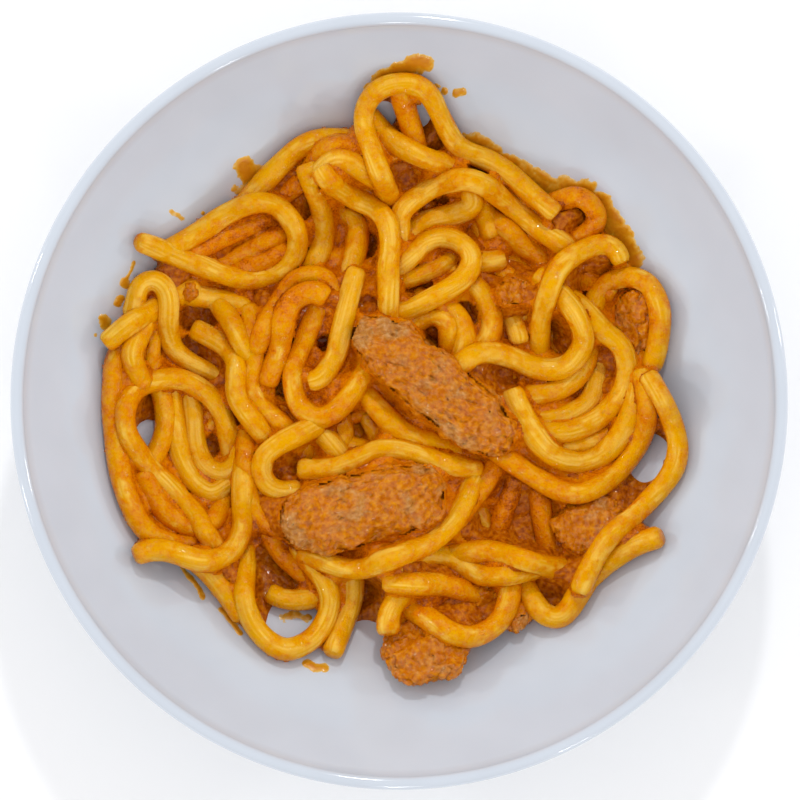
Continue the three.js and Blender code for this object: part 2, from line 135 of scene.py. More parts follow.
# cooked durum wheat pasta, pressed through a die, in a creamy tomato sauce: the sauce is opaque and finely
# grained, and where it has run off, the pale noodle shows with the die's fine lines along it; paler tops are
# partly painted sheen, and darker undersides and deep noodles are partly painted shade
def saucedPasta():
    material, tree = startMaterial("saucedPasta")
    straight = addNode(tree, "ShaderNodeAttribute", {"attribute_name": "straight"})
    sauce = addNode(tree, "ShaderNodeAttribute", {"attribute_name": "sauce"}).outputs["Fac"]
    place = addNode(tree, "ShaderNodeNewGeometry")
    drawnOut = []
    for along, across, detail in ((9, 3.4, 1.5), (24, 0.8, 0.5)):
        stretched = addNode(tree, "ShaderNodeVectorMath", {"operation": "MULTIPLY"},
                            inputs={1: (1 / (along * mm), 1 / (across * mm), 1 / (across * mm))},
                            links={0: straight.outputs["Vector"]})
        drawnOut.append(addNode(tree, "ShaderNodeTexNoise", inputs={"Scale": 1.0, "Detail": detail},
                                links={"Vector": stretched.outputs["Vector"]}).outputs["Fac"])
    patches, lines = drawnOut  # the die's lines are about 0.8 mm apart
    shades, grains, clots, beads = (
        addNode(tree, "ShaderNodeTexNoise", inputs={"Scale": 1 / (size * mm), "Detail": detail},
                links={"Vector": place.outputs["Position"]}).outputs["Fac"]
        for size, detail in ((9, 3.0), (0.55, 2.0), (2.6, 3.0), (1.8, 0.5)))
    cover = withNoises(tree, sauce, 1.0, 0.0, [(patches, 2.4), (lines, 0.4), (clots, 0.9)])
    covered = addNode(tree, "ShaderNodeMapRange", {"interpolation_type": "SMOOTHSTEP"},
                      inputs={"From Min": 0.0, "From Max": 0.5}, links={"Value": cover})
    bare = addNode(tree, "ShaderNodeValToRGB", links={"Fac": lines},
                   stops=[(0.35, "#dc9c08"), (0.65, "#ecba44")])
    # depth darkens the wet colour: it carries the sauce's own thickness, painted sheen on the tops, and
    # painted shade on the undersides and deep in the heap
    depth = withNoises(tree, sauce, 0.5, -0.06, [(shades, 0.8), (clots, 0.7), (grains, 0.6)])
    wet = addNode(tree, "ShaderNodeValToRGB", links={"Fac": depth},
                  stops=[(0.0, "#e09e00"), (1.0, "#6a2a00"), (0.26, "#da8a00"), (0.48, "#d27200"),
                         (0.72, "#9c4400")])
    colour = addNode(tree, "ShaderNodeMix", {"data_type": "RGBA"},
                     links={0: covered.outputs["Result"], 6: bare.outputs["Color"], 7: wet.outputs["Color"]})
    roughened = {}
    for height, strength, rise in ((lines, 0.5, 0.14), (clots, 0.6, 0.5), (grains, 0.8, 0.22)):
        bump = addNode(tree, "ShaderNodeBump", inputs={"Strength": strength, "Distance": rise * mm},
                       links={"Height": height, **roughened})
        roughened = {"Normal": bump.outputs["Normal"]}
    beadBump = addNode(tree, "ShaderNodeBump", inputs={"Strength": 1.0, "Distance": 0.9 * mm},
                       links={"Height": beads})
    gleam = addNode(tree, "ShaderNodeMapRange", links={"Value": beads},
                    inputs={"From Min": 0.46, "From Max": 0.54, "To Min": 0.03, "To Max": 0.45})
    shader = addNode(tree, "ShaderNodeBsdfPrincipled",
                     inputs={"Roughness": 0.32, "IOR": 1.38, "Specular IOR Level": 0.22,
                             "Specular Tint": toLinear("#ffb840"), "Coat Roughness": 0.06,
                             "Subsurface Weight": 0.1, "Subsurface Scale": 1.2 * mm,
                             "Subsurface Radius": (1.0, 0.45, 0.1)},
                     links={"Base Color": colour.outputs[2], "Coat Weight": gleam.outputs["Result"],
                            "Coat Normal": beadBump.outputs["Normal"], **roughened})
    addNode(tree, "ShaderNodeOutputMaterial", links={"Surface": shader.outputs["BSDF"]})
    return material


# tomato and cream sauce cooked with the meat: wet, grainy, brown orange
def meatSauce():
    material, tree = startMaterial("meatSauce")
    place = addNode(tree, "ShaderNodeNewGeometry")
    grains, drops = (
        addNode(tree, "ShaderNodeTexNoise", inputs={"Scale": 1 / (size * mm), "Detail": detail},
                links={"Vector": place.outputs["Position"]}).outputs["Fac"]
        for size, detail in ((1.4, 4.0), (2, 0.5)))
    colour = addNode(tree, "ShaderNodeValToRGB", links={"Fac": grains},
                     stops=[(0.3, "#8c3e00"), (0.7, "#cc7c08"), (0.5, "#b45c00")])
    grainBump, wetBump = (
        addNode(tree, "ShaderNodeBump", inputs={"Strength": strength, "Distance": rise * mm},
                links={"Height": height})
        for height, strength, rise in ((grains, 0.8, 0.5), (drops, 1.0, 1.2)))
    shader = addNode(tree, "ShaderNodeBsdfPrincipled",
                     inputs={"Roughness": 0.35, "IOR": 1.4, "Specular IOR Level": 0.3,
                             "Specular Tint": toLinear("#ffb060"),
                             "Coat Weight": 0.3, "Coat Roughness": 0.06},
                     links={"Base Color": colour.outputs["Color"], "Normal": grainBump.outputs["Normal"],
                            "Coat Normal": wetBump.outputs["Normal"]})
    addNode(tree, "ShaderNodeOutputMaterial", links={"Surface": shader.outputs["BSDF"]})
    return material


# the same sauce as a thin film on the glaze: yellow where it is thin, orange where it is thick
def sauceFilm():
    material, tree = startMaterial("sauceFilm")
    depth = addNode(tree, "ShaderNodeAttribute", {"attribute_name": "depth"})
    place = addNode(tree, "ShaderNodeNewGeometry")
    grains = addNode(tree, "ShaderNodeTexNoise", inputs={"Scale": 1 / (1.2 * mm), "Detail": 3.0},
                     links={"Vector": place.outputs["Position"]}).outputs["Fac"]
    thick = withNoises(tree, depth.outputs["Fac"], 1.0, 0.0, [(grains, 0.9)])
    colour = addNode(tree, "ShaderNodeValToRGB", links={"Fac": thick},
                     stops=[(0.0, "#dcc080"), (1.0, "#cc7e08"), (0.25, "#dea838"), (0.55, "#d89410")])
    bump = addNode(tree, "ShaderNodeBump", inputs={"Strength": 0.5, "Distance": 0.25 * mm},
                   links={"Height": grains})
    shader = addNode(tree, "ShaderNodeBsdfPrincipled",
                     inputs={"Roughness": 0.3, "IOR": 1.4, "Coat Weight": 0.3, "Coat Roughness": 0.1},
                     links={"Base Color": colour.outputs["Color"], "Normal": bump.outputs["Normal"]})
    addNode(tree, "ShaderNodeOutputMaterial", links={"Surface": shader.outputs["BSDF"]})
    return material


# coarse pork sausage, torn and simmered: grey pink meat with orange sauce in its crumbly skin
def crumbledSausage():
    material, tree = startMaterial("crumbledSausage")
    place = addNode(tree, "ShaderNodeNewGeometry")
    areas, wetGrains, fine = (
        addNode(tree, "ShaderNodeTexNoise", inputs={"Scale": 1 / (size * mm), "Detail": detail},
                links={"Vector": place.outputs["Position"]}).outputs["Fac"]
        for size, detail in ((9, 4.0), (1.7, 1.0), (1.5, 4.0)))
    meat = addNode(tree, "ShaderNodeValToRGB", links={"Fac": fine},
                   stops=[(0.25, "#9e5a16"), (0.75, "#ce9a60"), (0.5, "#ba7c34")])
    wet = addNode(tree, "ShaderNodeValToRGB", links={"Fac": fine},
                  stops=[(0.25, "#a85000"), (0.75, "#da8c0c"), (0.5, "#c46e00")])
    sauce = addNode(tree, "ShaderNodeAttribute", {"attribute_name": "sauce"})
    sauced = addNode(tree, "ShaderNodeMath", {"operation": "ADD"}, links={0: areas, 1: sauce.outputs["Fac"]})
    share = addNode(tree, "ShaderNodeValToRGB", links={"Fac": sauced.outputs["Value"]},
                    stops=[(0.37, 0.0), (0.5, 1.0)])
    gleam = addNode(tree, "ShaderNodeMapRange", links={"Value": wetGrains},
                    inputs={"From Min": 0.42, "From Max": 0.5, "To Min": 0.05, "To Max": 0.7})
    colour = addNode(tree, "ShaderNodeMix", {"data_type": "RGBA"},
                     links={0: share.outputs["Color"], 6: meat.outputs["Color"], 7: wet.outputs["Color"]})
    fineBump, wetBump = (
        addNode(tree, "ShaderNodeBump", inputs={"Strength": strength, "Distance": rise * mm},
                links={"Height": height})
        for height, strength, rise in ((fine, 0.7, 0.8), (wetGrains, 1.0, 1.1)))
    shader = addNode(tree, "ShaderNodeBsdfPrincipled",
                     inputs={"Roughness": 0.4, "IOR": 1.42, "Specular IOR Level": 0.2,
                             "Specular Tint": toLinear("#ffc080"), "Coat Roughness": 0.05,
                             "Subsurface Weight": 0.1, "Subsurface Scale": 1.2 * mm,
                             "Subsurface Radius": (1.0, 0.4, 0.25)},
                     links={"Base Color": colour.outputs[2], "Normal": fineBump.outputs["Normal"],
                            "Coat Weight": gleam.outputs["Result"],
                            "Coat Normal": wetBump.outputs["Normal"]})
    addNode(tree, "ShaderNodeOutputMaterial", links={"Surface": shader.outputs["BSDF"]})
    return material


# a painted board, sprayed matt: pale, with soft shadows and no shine
def paleFloor():
    material, tree = startMaterial("paleFloor")
    shader = addNode(tree, "ShaderNodeBsdfPrincipled",
                     inputs={"Base Color": toLinear("#f6f6f6"), "Roughness": 0.7})
    addNode(tree, "ShaderNodeOutputMaterial", links={"Surface": shader.outputs["BSDF"]})
    return material


# the bowl: outer size from the frame, the rest in metres
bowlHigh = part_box("bowl")[1]
bowlShape = {
    "radius": bowlHigh.x,
    "height": bowlHigh.z,
    "floorHeight": 8 * mm,
    "wall": 4.2 * mm,
    "flatRadius": 38 * mm,
    "curve": 2.2,
    "lipRadius": 1.9 * mm,
    "lipFrom": 0.93,  # share of the inner radius from which the wall thickens to its lip
    "footRadius": 50 * mm,
    "footWidth": 5 * mm,
    "footHeight": 4 * mm,
    "footEdge": 0.7 * mm,
    "footFlare": 1.2 * mm,
    "wallFrom": 6 * mm,  # the wall starts this far outside the foot
    "middleRing": 20 * mm,
    "wallRings": 27,
    "lipRings": 15,
    "insideRings": 40,
    "around": 288,
}
innerLipRadius = bowlShape["radius"] - 2 * bowlShape["lipRadius"]
innerLipHeight = bowlShape["height"] - bowlShape["lipRadius"]


# height of the bowl's inside at a distance from its axis
def insideHeight(distance):
    flat, low = bowlShape["flatRadius"], bowlShape["floorHeight"]
    along = np.maximum(0, distance - flat) / (innerLipRadius - flat)
    return low + (innerLipHeight - low) * along ** bowlShape["curve"]


def insideSlope(distance):
    small = 0.01 * mm
    return (insideHeight(distance + small) - insideHeight(distance - small)) / (2 * small)


# half of the bowl's outline, from the middle of its underside round to the middle of its floor
def bowlProfile():
    s = bowlShape
    recess = s["floorHeight"] - s["wall"]
    footInner = s["footRadius"] - s["footWidth"]
    profile = [(0, recess), (s["middleRing"], recess), (footInner - s["footFlare"], recess)]
    profile += [(footInner, s["footEdge"]), (footInner + s["footEdge"], 0)]
    profile += [(s["footRadius"] - s["footEdge"], 0), (s["footRadius"], s["footEdge"])]
    profile.append((s["footRadius"] + s["footFlare"], s["footHeight"]))
    for distance in np.linspace(s["footRadius"] + s["wallFrom"], innerLipRadius, s["wallRings"])[1:]:
        slope = insideSlope(distance)
        length = math.hypot(1, slope)
        nearLip = max(0, (distance / innerLipRadius - s["lipFrom"]) / (1 - s["lipFrom"]))
        thickness = s["wall"] + (2 * s["lipRadius"] - s["wall"]) * nearLip
        profile.append((distance + thickness * slope / length, insideHeight(distance) - thickness / length))
    for angle in np.linspace(0, math.pi, s["lipRings"]):
        profile.append((s["radius"] - s["lipRadius"] * (1 - math.cos(angle)),
                        innerLipHeight + s["lipRadius"] * math.sin(angle)))
    for distance in np.linspace(innerLipRadius, s["flatRadius"], s["insideRings"])[1:]:
        profile.append((distance, insideHeight(distance)))
    return profile + [(s["middleRing"], s["floorHeight"]), (0, s["floorHeight"])]


def makeBowl(material):
    profile = bowlProfile()
    around = bowlShape["around"]
    vertices = [(0, 0, profile[0][1])]
    for radius, height in profile[1:-1]:
        for i in range(around):
            turn = 2 * math.pi * i / around
            vertices.append((radius * math.cos(turn), radius * math.sin(turn), height))
    vertices.append((0, 0, profile[-1][1]))
    rings = len(profile) - 2
    last = len(vertices) - 1
    faces = []
    for i in range(around):
        after = (i + 1) % around
        faces.append((0, 1 + after, 1 + i))
        faces.append((last, last - around + i, last - around + after))
        for ring in range(rings - 1):
            a, b = 1 + ring * around, 1 + (ring + 1) * around
            faces.append((a + i, a + after, b + after, b + i))
    bowl = meshPiece("porcelainBowl", vertices, faces, material, sharpFrom=50)
    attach(bowl, "root")
    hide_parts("bowl")
    return bowl


# the heap: noodles are laid one by one on a relief that records how high the heap has grown
noodleShape = {
    "radius": 3.25 * mm,
    "contact": 2.6 * mm,  # radius left where soft noodles press into each other
    "stiffness": 40,  # rounds of smoothing that let a noodle bridge dips
    "sample": 1.5 * mm,
    "step": 0.95 * mm,
    "sides": 20,
    "tuck": 2.4 * mm,  # how far a tucked noodle sinks into what lies below it
    "under": 6 * mm,  # a hidden end goes on for this far,
    "dive": 10 * mm,  # and over this length
    "depth": 5 * mm,  # it sinks by this much
    "thickness": (0.95, 1.04),
    "tuckedThickness": (0.92, 1.0),
    "swells": ((0.035, 6 * mm, 1), (0.02, 2.3 * mm, 2)),  # share, length along the noodle, shift
    "lobes": ((0.02, 3, 1), (0.012, 5, -1)),  # share, count round the noodle, shift
    "endScales": (0.74, 0.95),  # the last rings, where the cut edge is rounded
    "tip": 0.25 * mm,
    "twist": 90 * mm,
    "patternShift": 0.31,  # metres between one noodle's pattern and the next one's
}
coreShape = {
    "radius": 61 * mm,
    "top": 21 * mm,
    "rounding": 2.6,
    "gap": 0.35 * mm,
    "edge": 0.2 * mm,
}
reliefStep = 1 * mm
reliefHalf = bowlShape["radius"]
reliefSide = int(round(2 * reliefHalf / reliefStep)) + 1
reliefAxis = np.arange(reliefSide) * reliefStep - reliefHalf
reliefX, reliefY = np.meshgrid(reliefAxis, reliefAxis)
reliefFar = np.hypot(reliefX, reliefY)

# Noodles and sausage chunks in the order that they lie, lowest first, in millimetres. Each noodle has how
# coated it is, which of its ends go under others, and the places that it runs through.
heapOrder = [
    ("outerLeft", 0.75, "both", [(-79.5, 17), (-82, 11), (-82.8, 3), (-82.5, -5.5), (-81.5, -14), (-80, -23),
     (-77.5, -30), (-74, -36.5), (-69, -40.5), (-62.5, -42), (-57.5, -40)]),
    ("leftInner", 0.55, "both", [(-75.5, 18), (-77, 13.5), (-76, 9.5)]),
    ("topLeftArc", 0.5, "both", [(-42, 60.5), (-38.5, 64.5), (-29.5, 73), (-24, 75.5), (-18, 76), (-12, 75),
     (-6, 72.5)]),
    ("arcBehind", 0.95, "both", [(-39.5, 51.5), (-36, 57), (-32, 61.5), (-27, 65), (-21.5, 72),
     (-15.5, 73.5), (-10, 71)]),
    ("behindLoop", 0.9, "both", [(1.8, 84.5), (3, 81), (4.5, 76), (5.5, 72)]),
    ("underTop", 0.5, "both", [(-6, 79), (-2.5, 75.5), (2.5, 72.5), (8, 70), (14, 68.5), (19, 66)]),
    ("shadedTop", 0.6, "both", [(-15.5, 56.5), (-12, 52), (-12, 46.5), (-13.5, 40), (-15.5, 33.5)]),
    ("shadedStub", 0.6, "start", [(24.5, 59), (25.5, 53.5), (27.5, 47.5)]),
    ("hookInside", 0.9, "both", [(-51, 40), (-42, 45), (-33, 49.5)]),
    ("rightBelow", 0.7, "both", [(30.5, 51), (36.5, 45.5), (42, 41.5), (44, 36.5), (42, 32)]),
    ("saucyLeft", 0.8, "both", [(29, -17.5), (25.5, -23), (21.5, -28.5), (17.5, -34.5), (14, -38.5)]),
    ("saucyRight", 0.8, "both", [(41, -25.5), (41.5, -32), (44, -43.5)]),
    ("sausage_crumb",),
    ("sausage_loop",),
    ("sausage_right",),
    ("sausage_low",),
    ("sausage_end",),
    ("sausage_front",),
    ("leftStub", 0.4, "end", [(-84.5, 16.5), (-79.5, 20.6), (-74, 24.5), (-69, 28), (-64, 31)]),
    ("leftArch", 0.3, "both", [(-75.8, 30), (-75.4, 32.2), (-73.8, 34.2), (-71.2, 35), (-68.6, 33.8),
     (-67, 31.2), (-66.5, 28), (-67, 21.5), (-66, 16), (-62, 11.8), (-56, 8.4)]),
    ("midLeft", 0.35, "both", [(-57.5, 30.6), (-52.5, 29.8), (-47, 28.5), (-43.5, 25), (-42.5, 20.5)]),
    ("secondWavy", 0.7, "both", [(-42.8, 22), (-42, 17), (-42.5, 10.5), (-43.5, 5), (-41, -0.5), (-37, -4.5),
     (-32, -8.5)]),
    ("wavyLeft", 0.45, "end", [(-60.5, 21.5), (-55.5, 19), (-50.5, 16), (-47.5, 11.5), (-47, 1), (-41, -7.5),
     (-38, -12)]),
    ("innerRing", 0.3, "both", [(-62, 4), (-60.5, -2.5), (-59, -14.5), (-56, -19.5), (-51.5, -21),
     (-47.5, -18.5), (-46, -14)]),
    ("innerRingOuter", 0.3, "both", [(-66.5, 4), (-66.5, -1), (-65.5, -7), (-64.5, -13.5), (-62.5, -19.5),
     (-59, -24.5), (-54.5, -27), (-51.5, -25.5)]),
    ("leftRing", 0.45, "both", [(-49.8, -11), (-51, -5), (-54, 0), (-58.5, 4), (-64.5, 6.5), (-70.5, 6),
     (-75.5, 4), (-78.5, -1), (-78.5, -8), (-76, -14), (-72, -20), (-67, -25), (-62.5, -29.5), (-58.5, -34),
     (-55.5, -39)]),
    ("diagonal", 0.75, "both", [(-43.5, -21), (-42, -28.5), (-39, -36.5), (-34.4, -44.5), (-30, -48.5),
     (-27, -51)]),
    ("shortShelf", 0.4, "end", [(-38.3, -55.5), (-34, -57.6), (-28, -58), (-23, -57)]),
    ("underTail", 0.6, "both", [(-60, -45.5), (-56, -49), (-51.5, -54), (-48.5, -58)]),
    ("longLeft", 0.4, "both", [(-45.8, -41.5), (-45, -46), (-45, -52), (-44.5, -59), (-42, -65),
     (-38, -69.5), (-33, -72), (-28.5, -71), (-24, -68), (-21, -63), (-20, -57.5), (-21.5, -52.5),
     (-28, -44.5)]),
    ("tail", 0.5, "end", [(-76, -44.5), (-72, -43), (-67, -43), (-57, -46), (-52, -45.5), (-48, -42.5),
     (-45.5, -37), (-45.5, -31), (-45.3, -22)]),
    ("leftHook", 0.4, "end", [(-75, 46), (-70.5, 44.5), (-64.5, 42), (-57.5, 39.5), (-51, 37), (-45, 35.5),
     (-39, 36), (-33.5, 38.5), (-30, 43.5), (-29.5, 48.5), (-32, 53.5), (-36, 57), (-41.5, 57.5),
     (-46.5, 56), (-51.5, 53.5), (-56.5, 50), (-63, 46)]),
    ("topStub", 0.5, "end", [(-27, 68.5), (-25, 63), (-23, 57), (-22, 51), (-22.5, 45), (-25, 39.5)]),
    ("curlOuter", 0.4, "both", [(20.5, 62), (21.5, 57.5), (17.5, 55), (7.5, 52.5), (3.5, 49.5), (1.5, 44.5),
     (2.5, 40)]),
    ("rightOfMiddle", 0.6, "both", [(18, 36), (22.5, 33), (25.5, 28.5), (27, 23), (25.5, 17.5), (22, 14)]),
    ("roundEnd", 0.3, "start", [(33.6, 22.3), (34.6, 19.6), (35.2, 16.8)]),
    ("innerMiddle", 0.5, "both", [(10, 29), (14.5, 27), (18, 23), (19, 17.5), (18, 13.5)]),
    ("stubRight", 0.5, "start", [(20.5, 41), (26, 40.5), (31, 41.5)]),
    ("curlInner", 0.35, "both", [(1, 40), (4, 42.5), (7, 45.5), (10.5, 47.3), (14.5, 47.5), (18.5, 45.5),
     (21, 42), (20, 37.5), (16.5, 34), (7, 28.5), (2.5, 26.5), (-2, 25.5)]),
    ("rightRing", 0.8, "both", [(47.5, 58.3), (51.5, 59.3), (55.5, 57), (57.3, 53), (55.3, 49.3),
     (50, 46.5)]),
    ("elbowAbove", 0.5, "both", [(-21.5, 67), (-18.5, 69.3), (-14, 68.5), (-8.5, 65.5)]),
    ("topLoop", 0.45, "start", [(-1, 55.5), (-3.5, 61), (-6, 66.5), (-8, 72.5), (-10, 78.5), (-10, 83.5),
     (-8, 87.5), (-4.5, 90), (0.5, 91), (5, 90.5), (9, 87.5), (11.5, 83), (17, 74), (26.5, 69.5),
     (31.5, 66.5), (35.5, 63), (45.5, 54)]),
    ("bigArch", 0.4, "both", [(0, 50), (0.5, 54.5), (8.5, 61.5), (14, 63.5), (19.5, 64), (24.5, 62.5),
     (29, 59.5), (38, 52.5), (42.5, 49), (47.5, 45.5)]),
    ("topElbow", 0.45, "end", [(-23, 66.8), (-20.3, 63.3), (-13, 59), (-6.5, 55.5), (-3.5, 51.5),
     (-2.5, 45.5), (-3, 39.5), (-3, 32.5), (-3, 27.5)]),
    ("stubInner", 0.4, "both", [(58, 10), (57.5, 5), (55.5, 0), (51, -3), (46, -5), (40.5, -5.5)]),
    ("nestOuter", 0.4, "both", [(68.5, 5), (67.3, 0), (65, -5), (60.5, -10), (54.5, -12), (48.5, -13),
     (43.5, -12.5)]),
    ("parallel", 0.5, "both", [(55, 19), (55, 14), (53, 9), (49, 5), (43.5, 2.5), (37, 1.5)]),
    ("rightLoop", 0.6, "start", [(55, 22.5), (57, 29), (59, 33), (63, 35.5), (67.5, 36), (72, 34),
     (74.5, 29.5), (75.5, 24.5), (75.2, 18), (74.2, 13), (72.8, 9)]),
    ("rightS", 0.4, "both", [(48, 31), (51.5, 28.5), (59.5, 20), (63.5, 17), (65.8, 12.5), (66, 7),
     (64.3, 1.5), (60, -3.5), (54.5, -7), (48.5, -9), (43, -9)]),
    ("smile", 0.4, "both", [(18.3, 11), (21, 13), (24.5, 14), (29.5, 13.5), (34, 12), (38.5, 10), (44, 9),
     (48.5, 10), (52, 13.5), (53.5, 18), (52, 23), (49.5, 27.5), (46.8, 30.8), (44.5, 33)]),
    ("rightHook", 0.4, "end", [(64.5, 40), (62.5, 44), (59, 45.5), (49.5, 41.5), (46, 38), (43.5, 32.5),
     (41.3, 24), (41, 18)]),
    ("centreRight", 0.3, "end", [(32.5, 3.5), (34.5, -1.5), (39.5, -10.5), (43, -14.5), (47.5, -17),
     (53, -18), (58, -16.5), (62.5, -12.5), (66, -7), (68.3, -1), (69.2, 4)]),
    ("lowerRight", 0.6, "both", [(30, -16), (34.5, -19), (40, -22.5), (45.5, -25.5), (51.5, -27),
     (57.5, -25), (63, -21.5), (67, -16.5), (70.5, -10.5), (71.8, -3.5), (71, 3)]),
    ("rightEnd", 0.4, "end", [(75.5, -39), (71, -40.5), (66.5, -42.5), (62, -45.5), (58, -49)]),
    ("smallHook", 0.45, "both", [(36.5, -53.5), (39, -58), (42.5, -62), (46.5, -62.7), (49.5, -60),
     (51.3, -57), (53.6, -53.5)]),
    ("outerRight", 0.5, "start", [(74.5, 2.5), (77, -2), (79.5, -8), (80.5, -13.5), (79.5, -19), (76.5, -24),
     (72.5, -28.5), (68, -33), (63, -37), (59, -41.5), (54, -50.5), (52, -55.5)]),
    ("bottomStub", 0.4, "start", [(-14, -47.5), (-13.5, -53), (-14, -59), (-16, -64.5), (-19.5, -73.5)]),
    ("alongSausage", 0.6, "both", [(-9, 1), (-5, -3.5), (0.5, -8.5), (6.5, -11), (12.5, -13), (18.5, -15)]),
    ("hookMiddle", 0.4, "start", [(-28, -9), (-31.5, -10.7), (-35.2, -12.7), (-39, -16), (-40, -20.5),
     (-38, -24.5), (-34, -26.5), (-28.5, -26)]),
    ("aboveSausage", 0.45, "end", [(-29.5, -19.5), (-23.5, -20), (-17, -19), (-11.5, -16.5), (-6, -14),
     (0, -14), (6, -15.5), (12, -17.5), (18, -19)]),
    ("middleArch", 0.75, "both", [(-39.6, 20), (-37.8, 24), (-35.2, 28.3), (-32.6, 32.6), (-29.5, 35.5),
     (-25.1, 36.4), (-21.4, 35.2), (-19.1, 32.1), (-18.2, 27.4)]),
    ("middleBend", 0.55, "both", [(-23, 28), (-25.7, 22), (-28.3, 16), (-30.6, 10.4), (-31, 6), (-30.6, 2.5),
     (-28.5, -2), (-24, -5), (-19, -3.5), (-15, 0.5), (-9.5, 9)]),
    ("innerArch", 0.65, "", [(-38.4, 4.5), (-37.2, 8.4), (-35.2, 13.6), (-34.1, 18.8), (-33.2, 23.7),
     (-31.5, 28), (-28.6, 30.6), (-24.3, 31.5), (-20.8, 29.7)]),
    ("jCurve", 0.2, "", [(-12, 38.5), (-14, 32), (-15.5, 25.5), (-17, 19), (-18.3, 13.5), (-20.5, 9.5),
     (-23.5, 6.3), (-26.3, 5.5)]),
    ("lowLoop", 0.55, "both", [(1.5, -59.5), (6, -61.5), (11, -64.5), (15.5, -67), (20.5, -68),
     (25.5, -66.5), (29.5, -63), (31.5, -58.5), (32.5, -54)]),
    ("lowLeg", 0.45, "end", [(-3.2, -67.5), (-3, -62), (-0.8, -57.5), (2.5, -54.5)]),
    ("shortBar", 0.55, "end", [(-4.5, -52), (7.5, -53), (13.5, -53.5), (18.5, -55)]),
    ("lowWave", 0.35, "both", [(-0.5, -47.5), (4.5, -45.5), (9.5, -44.5), (14.5, -45.5), (24, -50.5),
     (29.5, -50.5), (35, -49.5)]),
    ("belowSausage", 0.45, "both", [(-23.5, -46), (-17, -48), (-10.5, -48.5), (-4.5, -46), (2.5, -43.5),
     (9, -41), (14.5, -36.5), (18, -31.5), (20, -27)]),
    ("topWave", 0.45, "both", [(20, -44), (25.5, -43.5), (31.5, -44.5), (37, -46), (43, -48), (48.5, -49)]),
]
# noodles that show between others and hold nothing up, each after the noodle that it lies on
tuckedNoodles = [
    ("outerLeft", 0.6, [(-71.5, 20.5), (-72.5, 14), (-71.5, 8.5), (-69, 2), (-68, -5), (-69, -11),
     (-71.5, -16.5)]),
    ("outerLeft", 0.85, [(-72, -25.5), (-69, -31), (-64.5, -35), (-59, -37), (-54, -34.5), (-51, -30)]),
    ("arcBehind", 0.7, [(1.5, 69), (4, 64), (6.5, 60)]),
    ("hookInside", 0.9, [(-58, 44), (-52, 47.5), (-45, 50.5), (-39, 53)]),
    ("hookInside", 0.95, [(-47, 38.5), (-40, 40.5), (-34, 44)]),
    ("sausage_loop", 0.85, [(49, 41), (53.5, 37), (58, 34)]),
    ("saucyRight", 0.95, [(34.5, -19.5), (33, -25.5), (30.5, -32), (29, -38.5)]),
    ("rightBelow", 0.8, [(28, 38.5), (33.5, 35), (37, 29), (36, 23)]),
    ("secondWavy", 0.45, [(-50.5, 25.5), (-47.5, 21), (-45, 16)]),
    ("curlOuter", 0.4, [(1, 35.5), (11, 38.5), (15.5, 41.5)]),
    ("innerMiddle", 0.5, [(2.5, 18), (5.5, 23), (10, 25), (14, 22.5), (14.5, 17.5)]),
    ("diagonal", 0.85, [(-44.5, -14), (-44.5, -22), (-43, -30), (-38.5, -35.5), (-32, -38)]),
    ("diagonal", 0.2, [(-23, -8.5), (-19.5, -12.5), (-16.5, -16)]),
]


# points along a smooth curve through the given places, evenly spaced
def smoothRoute(places, spacing):
    between = 24  # points worked out from one place to the next
    points = [np.array(p, float) * mm for p in places]
    points = [2 * points[0] - points[1]] + points + [2 * points[-1] - points[-2]]
    dense = []
    for p0, p1, p2, p3 in zip(points, points[1:], points[2:], points[3:]):
        d0, d1, d2 = (math.sqrt(np.linalg.norm(b - a)) for a, b in ((p0, p1), (p1, p2), (p2, p3)))
        start = ((p1 - p0) / d0 - (p2 - p0) / (d0 + d1) + (p2 - p1) / d1) * d1
        end = ((p2 - p1) / d1 - (p3 - p1) / (d1 + d2) + (p3 - p2) / d2) * d1
        t = np.arange(0, 1, 1 / between)[:, None]
        dense.append(p1 * (2 * t ** 3 - 3 * t ** 2 + 1) + start * (t ** 3 - 2 * t ** 2 + t)
                     + p2 * (3 * t ** 2 - 2 * t ** 3) + end * (t ** 3 - t ** 2))
    return evenlySpaced(np.vstack(dense + [points[-2][None]]), spacing)


def evenlySpaced(points, spacing):
    lengths = np.r_[0, np.cumsum(np.linalg.norm(np.diff(points, axis=0), axis=1))]
    count = max(4, int(round(lengths[-1] / spacing)))
    places = np.linspace(0, lengths[-1], count + 1)
    return np.stack([np.interp(places, lengths, points[:, k]) for k in range(points.shape[1])], axis=1)


# the low dome that fills the middle of the bowl
def coreHeight(distance):
    share = np.minimum(distance / coreShape["radius"], 1)
    edge = insideHeight(coreShape["radius"]) + coreShape["gap"] + coreShape["edge"]
    return edge + (coreShape["top"] - edge) * (1 - share ** coreShape["rounding"])


# the part of a relief round a place, and how much a noodle's round section adds over it
def sectionAround(relief, x, y, reach):
    c0, r0 = (int(math.ceil((v - reach + reliefHalf) / reliefStep)) for v in (x, y))
    c1, r1 = (int((v + reach + reliefHalf) / reliefStep) + 1 for v in (x, y))
    rest = reach ** 2 - (reliefX[r0:r1, c0:c1] - x) ** 2 - (reliefY[r0:r1, c0:c1] - y) ** 2
    return relief[r0:r1, c0:c1], np.where(rest > 0, np.sqrt(np.maximum(rest, 0)), -1)


def restingHeight(relief, x, y):
    cells, section = sectionAround(relief, x, y, noodleShape["contact"])
    return (cells + section)[section > 0].max()


# the lowest that a noodle's middle can lie over the glaze
def bowlClearance(x, y):
    distance = math.hypot(x, y)
    space = noodleShape["radius"] + coreShape["gap"]
    return insideHeight(distance) + space * math.hypot(1, insideSlope(distance))


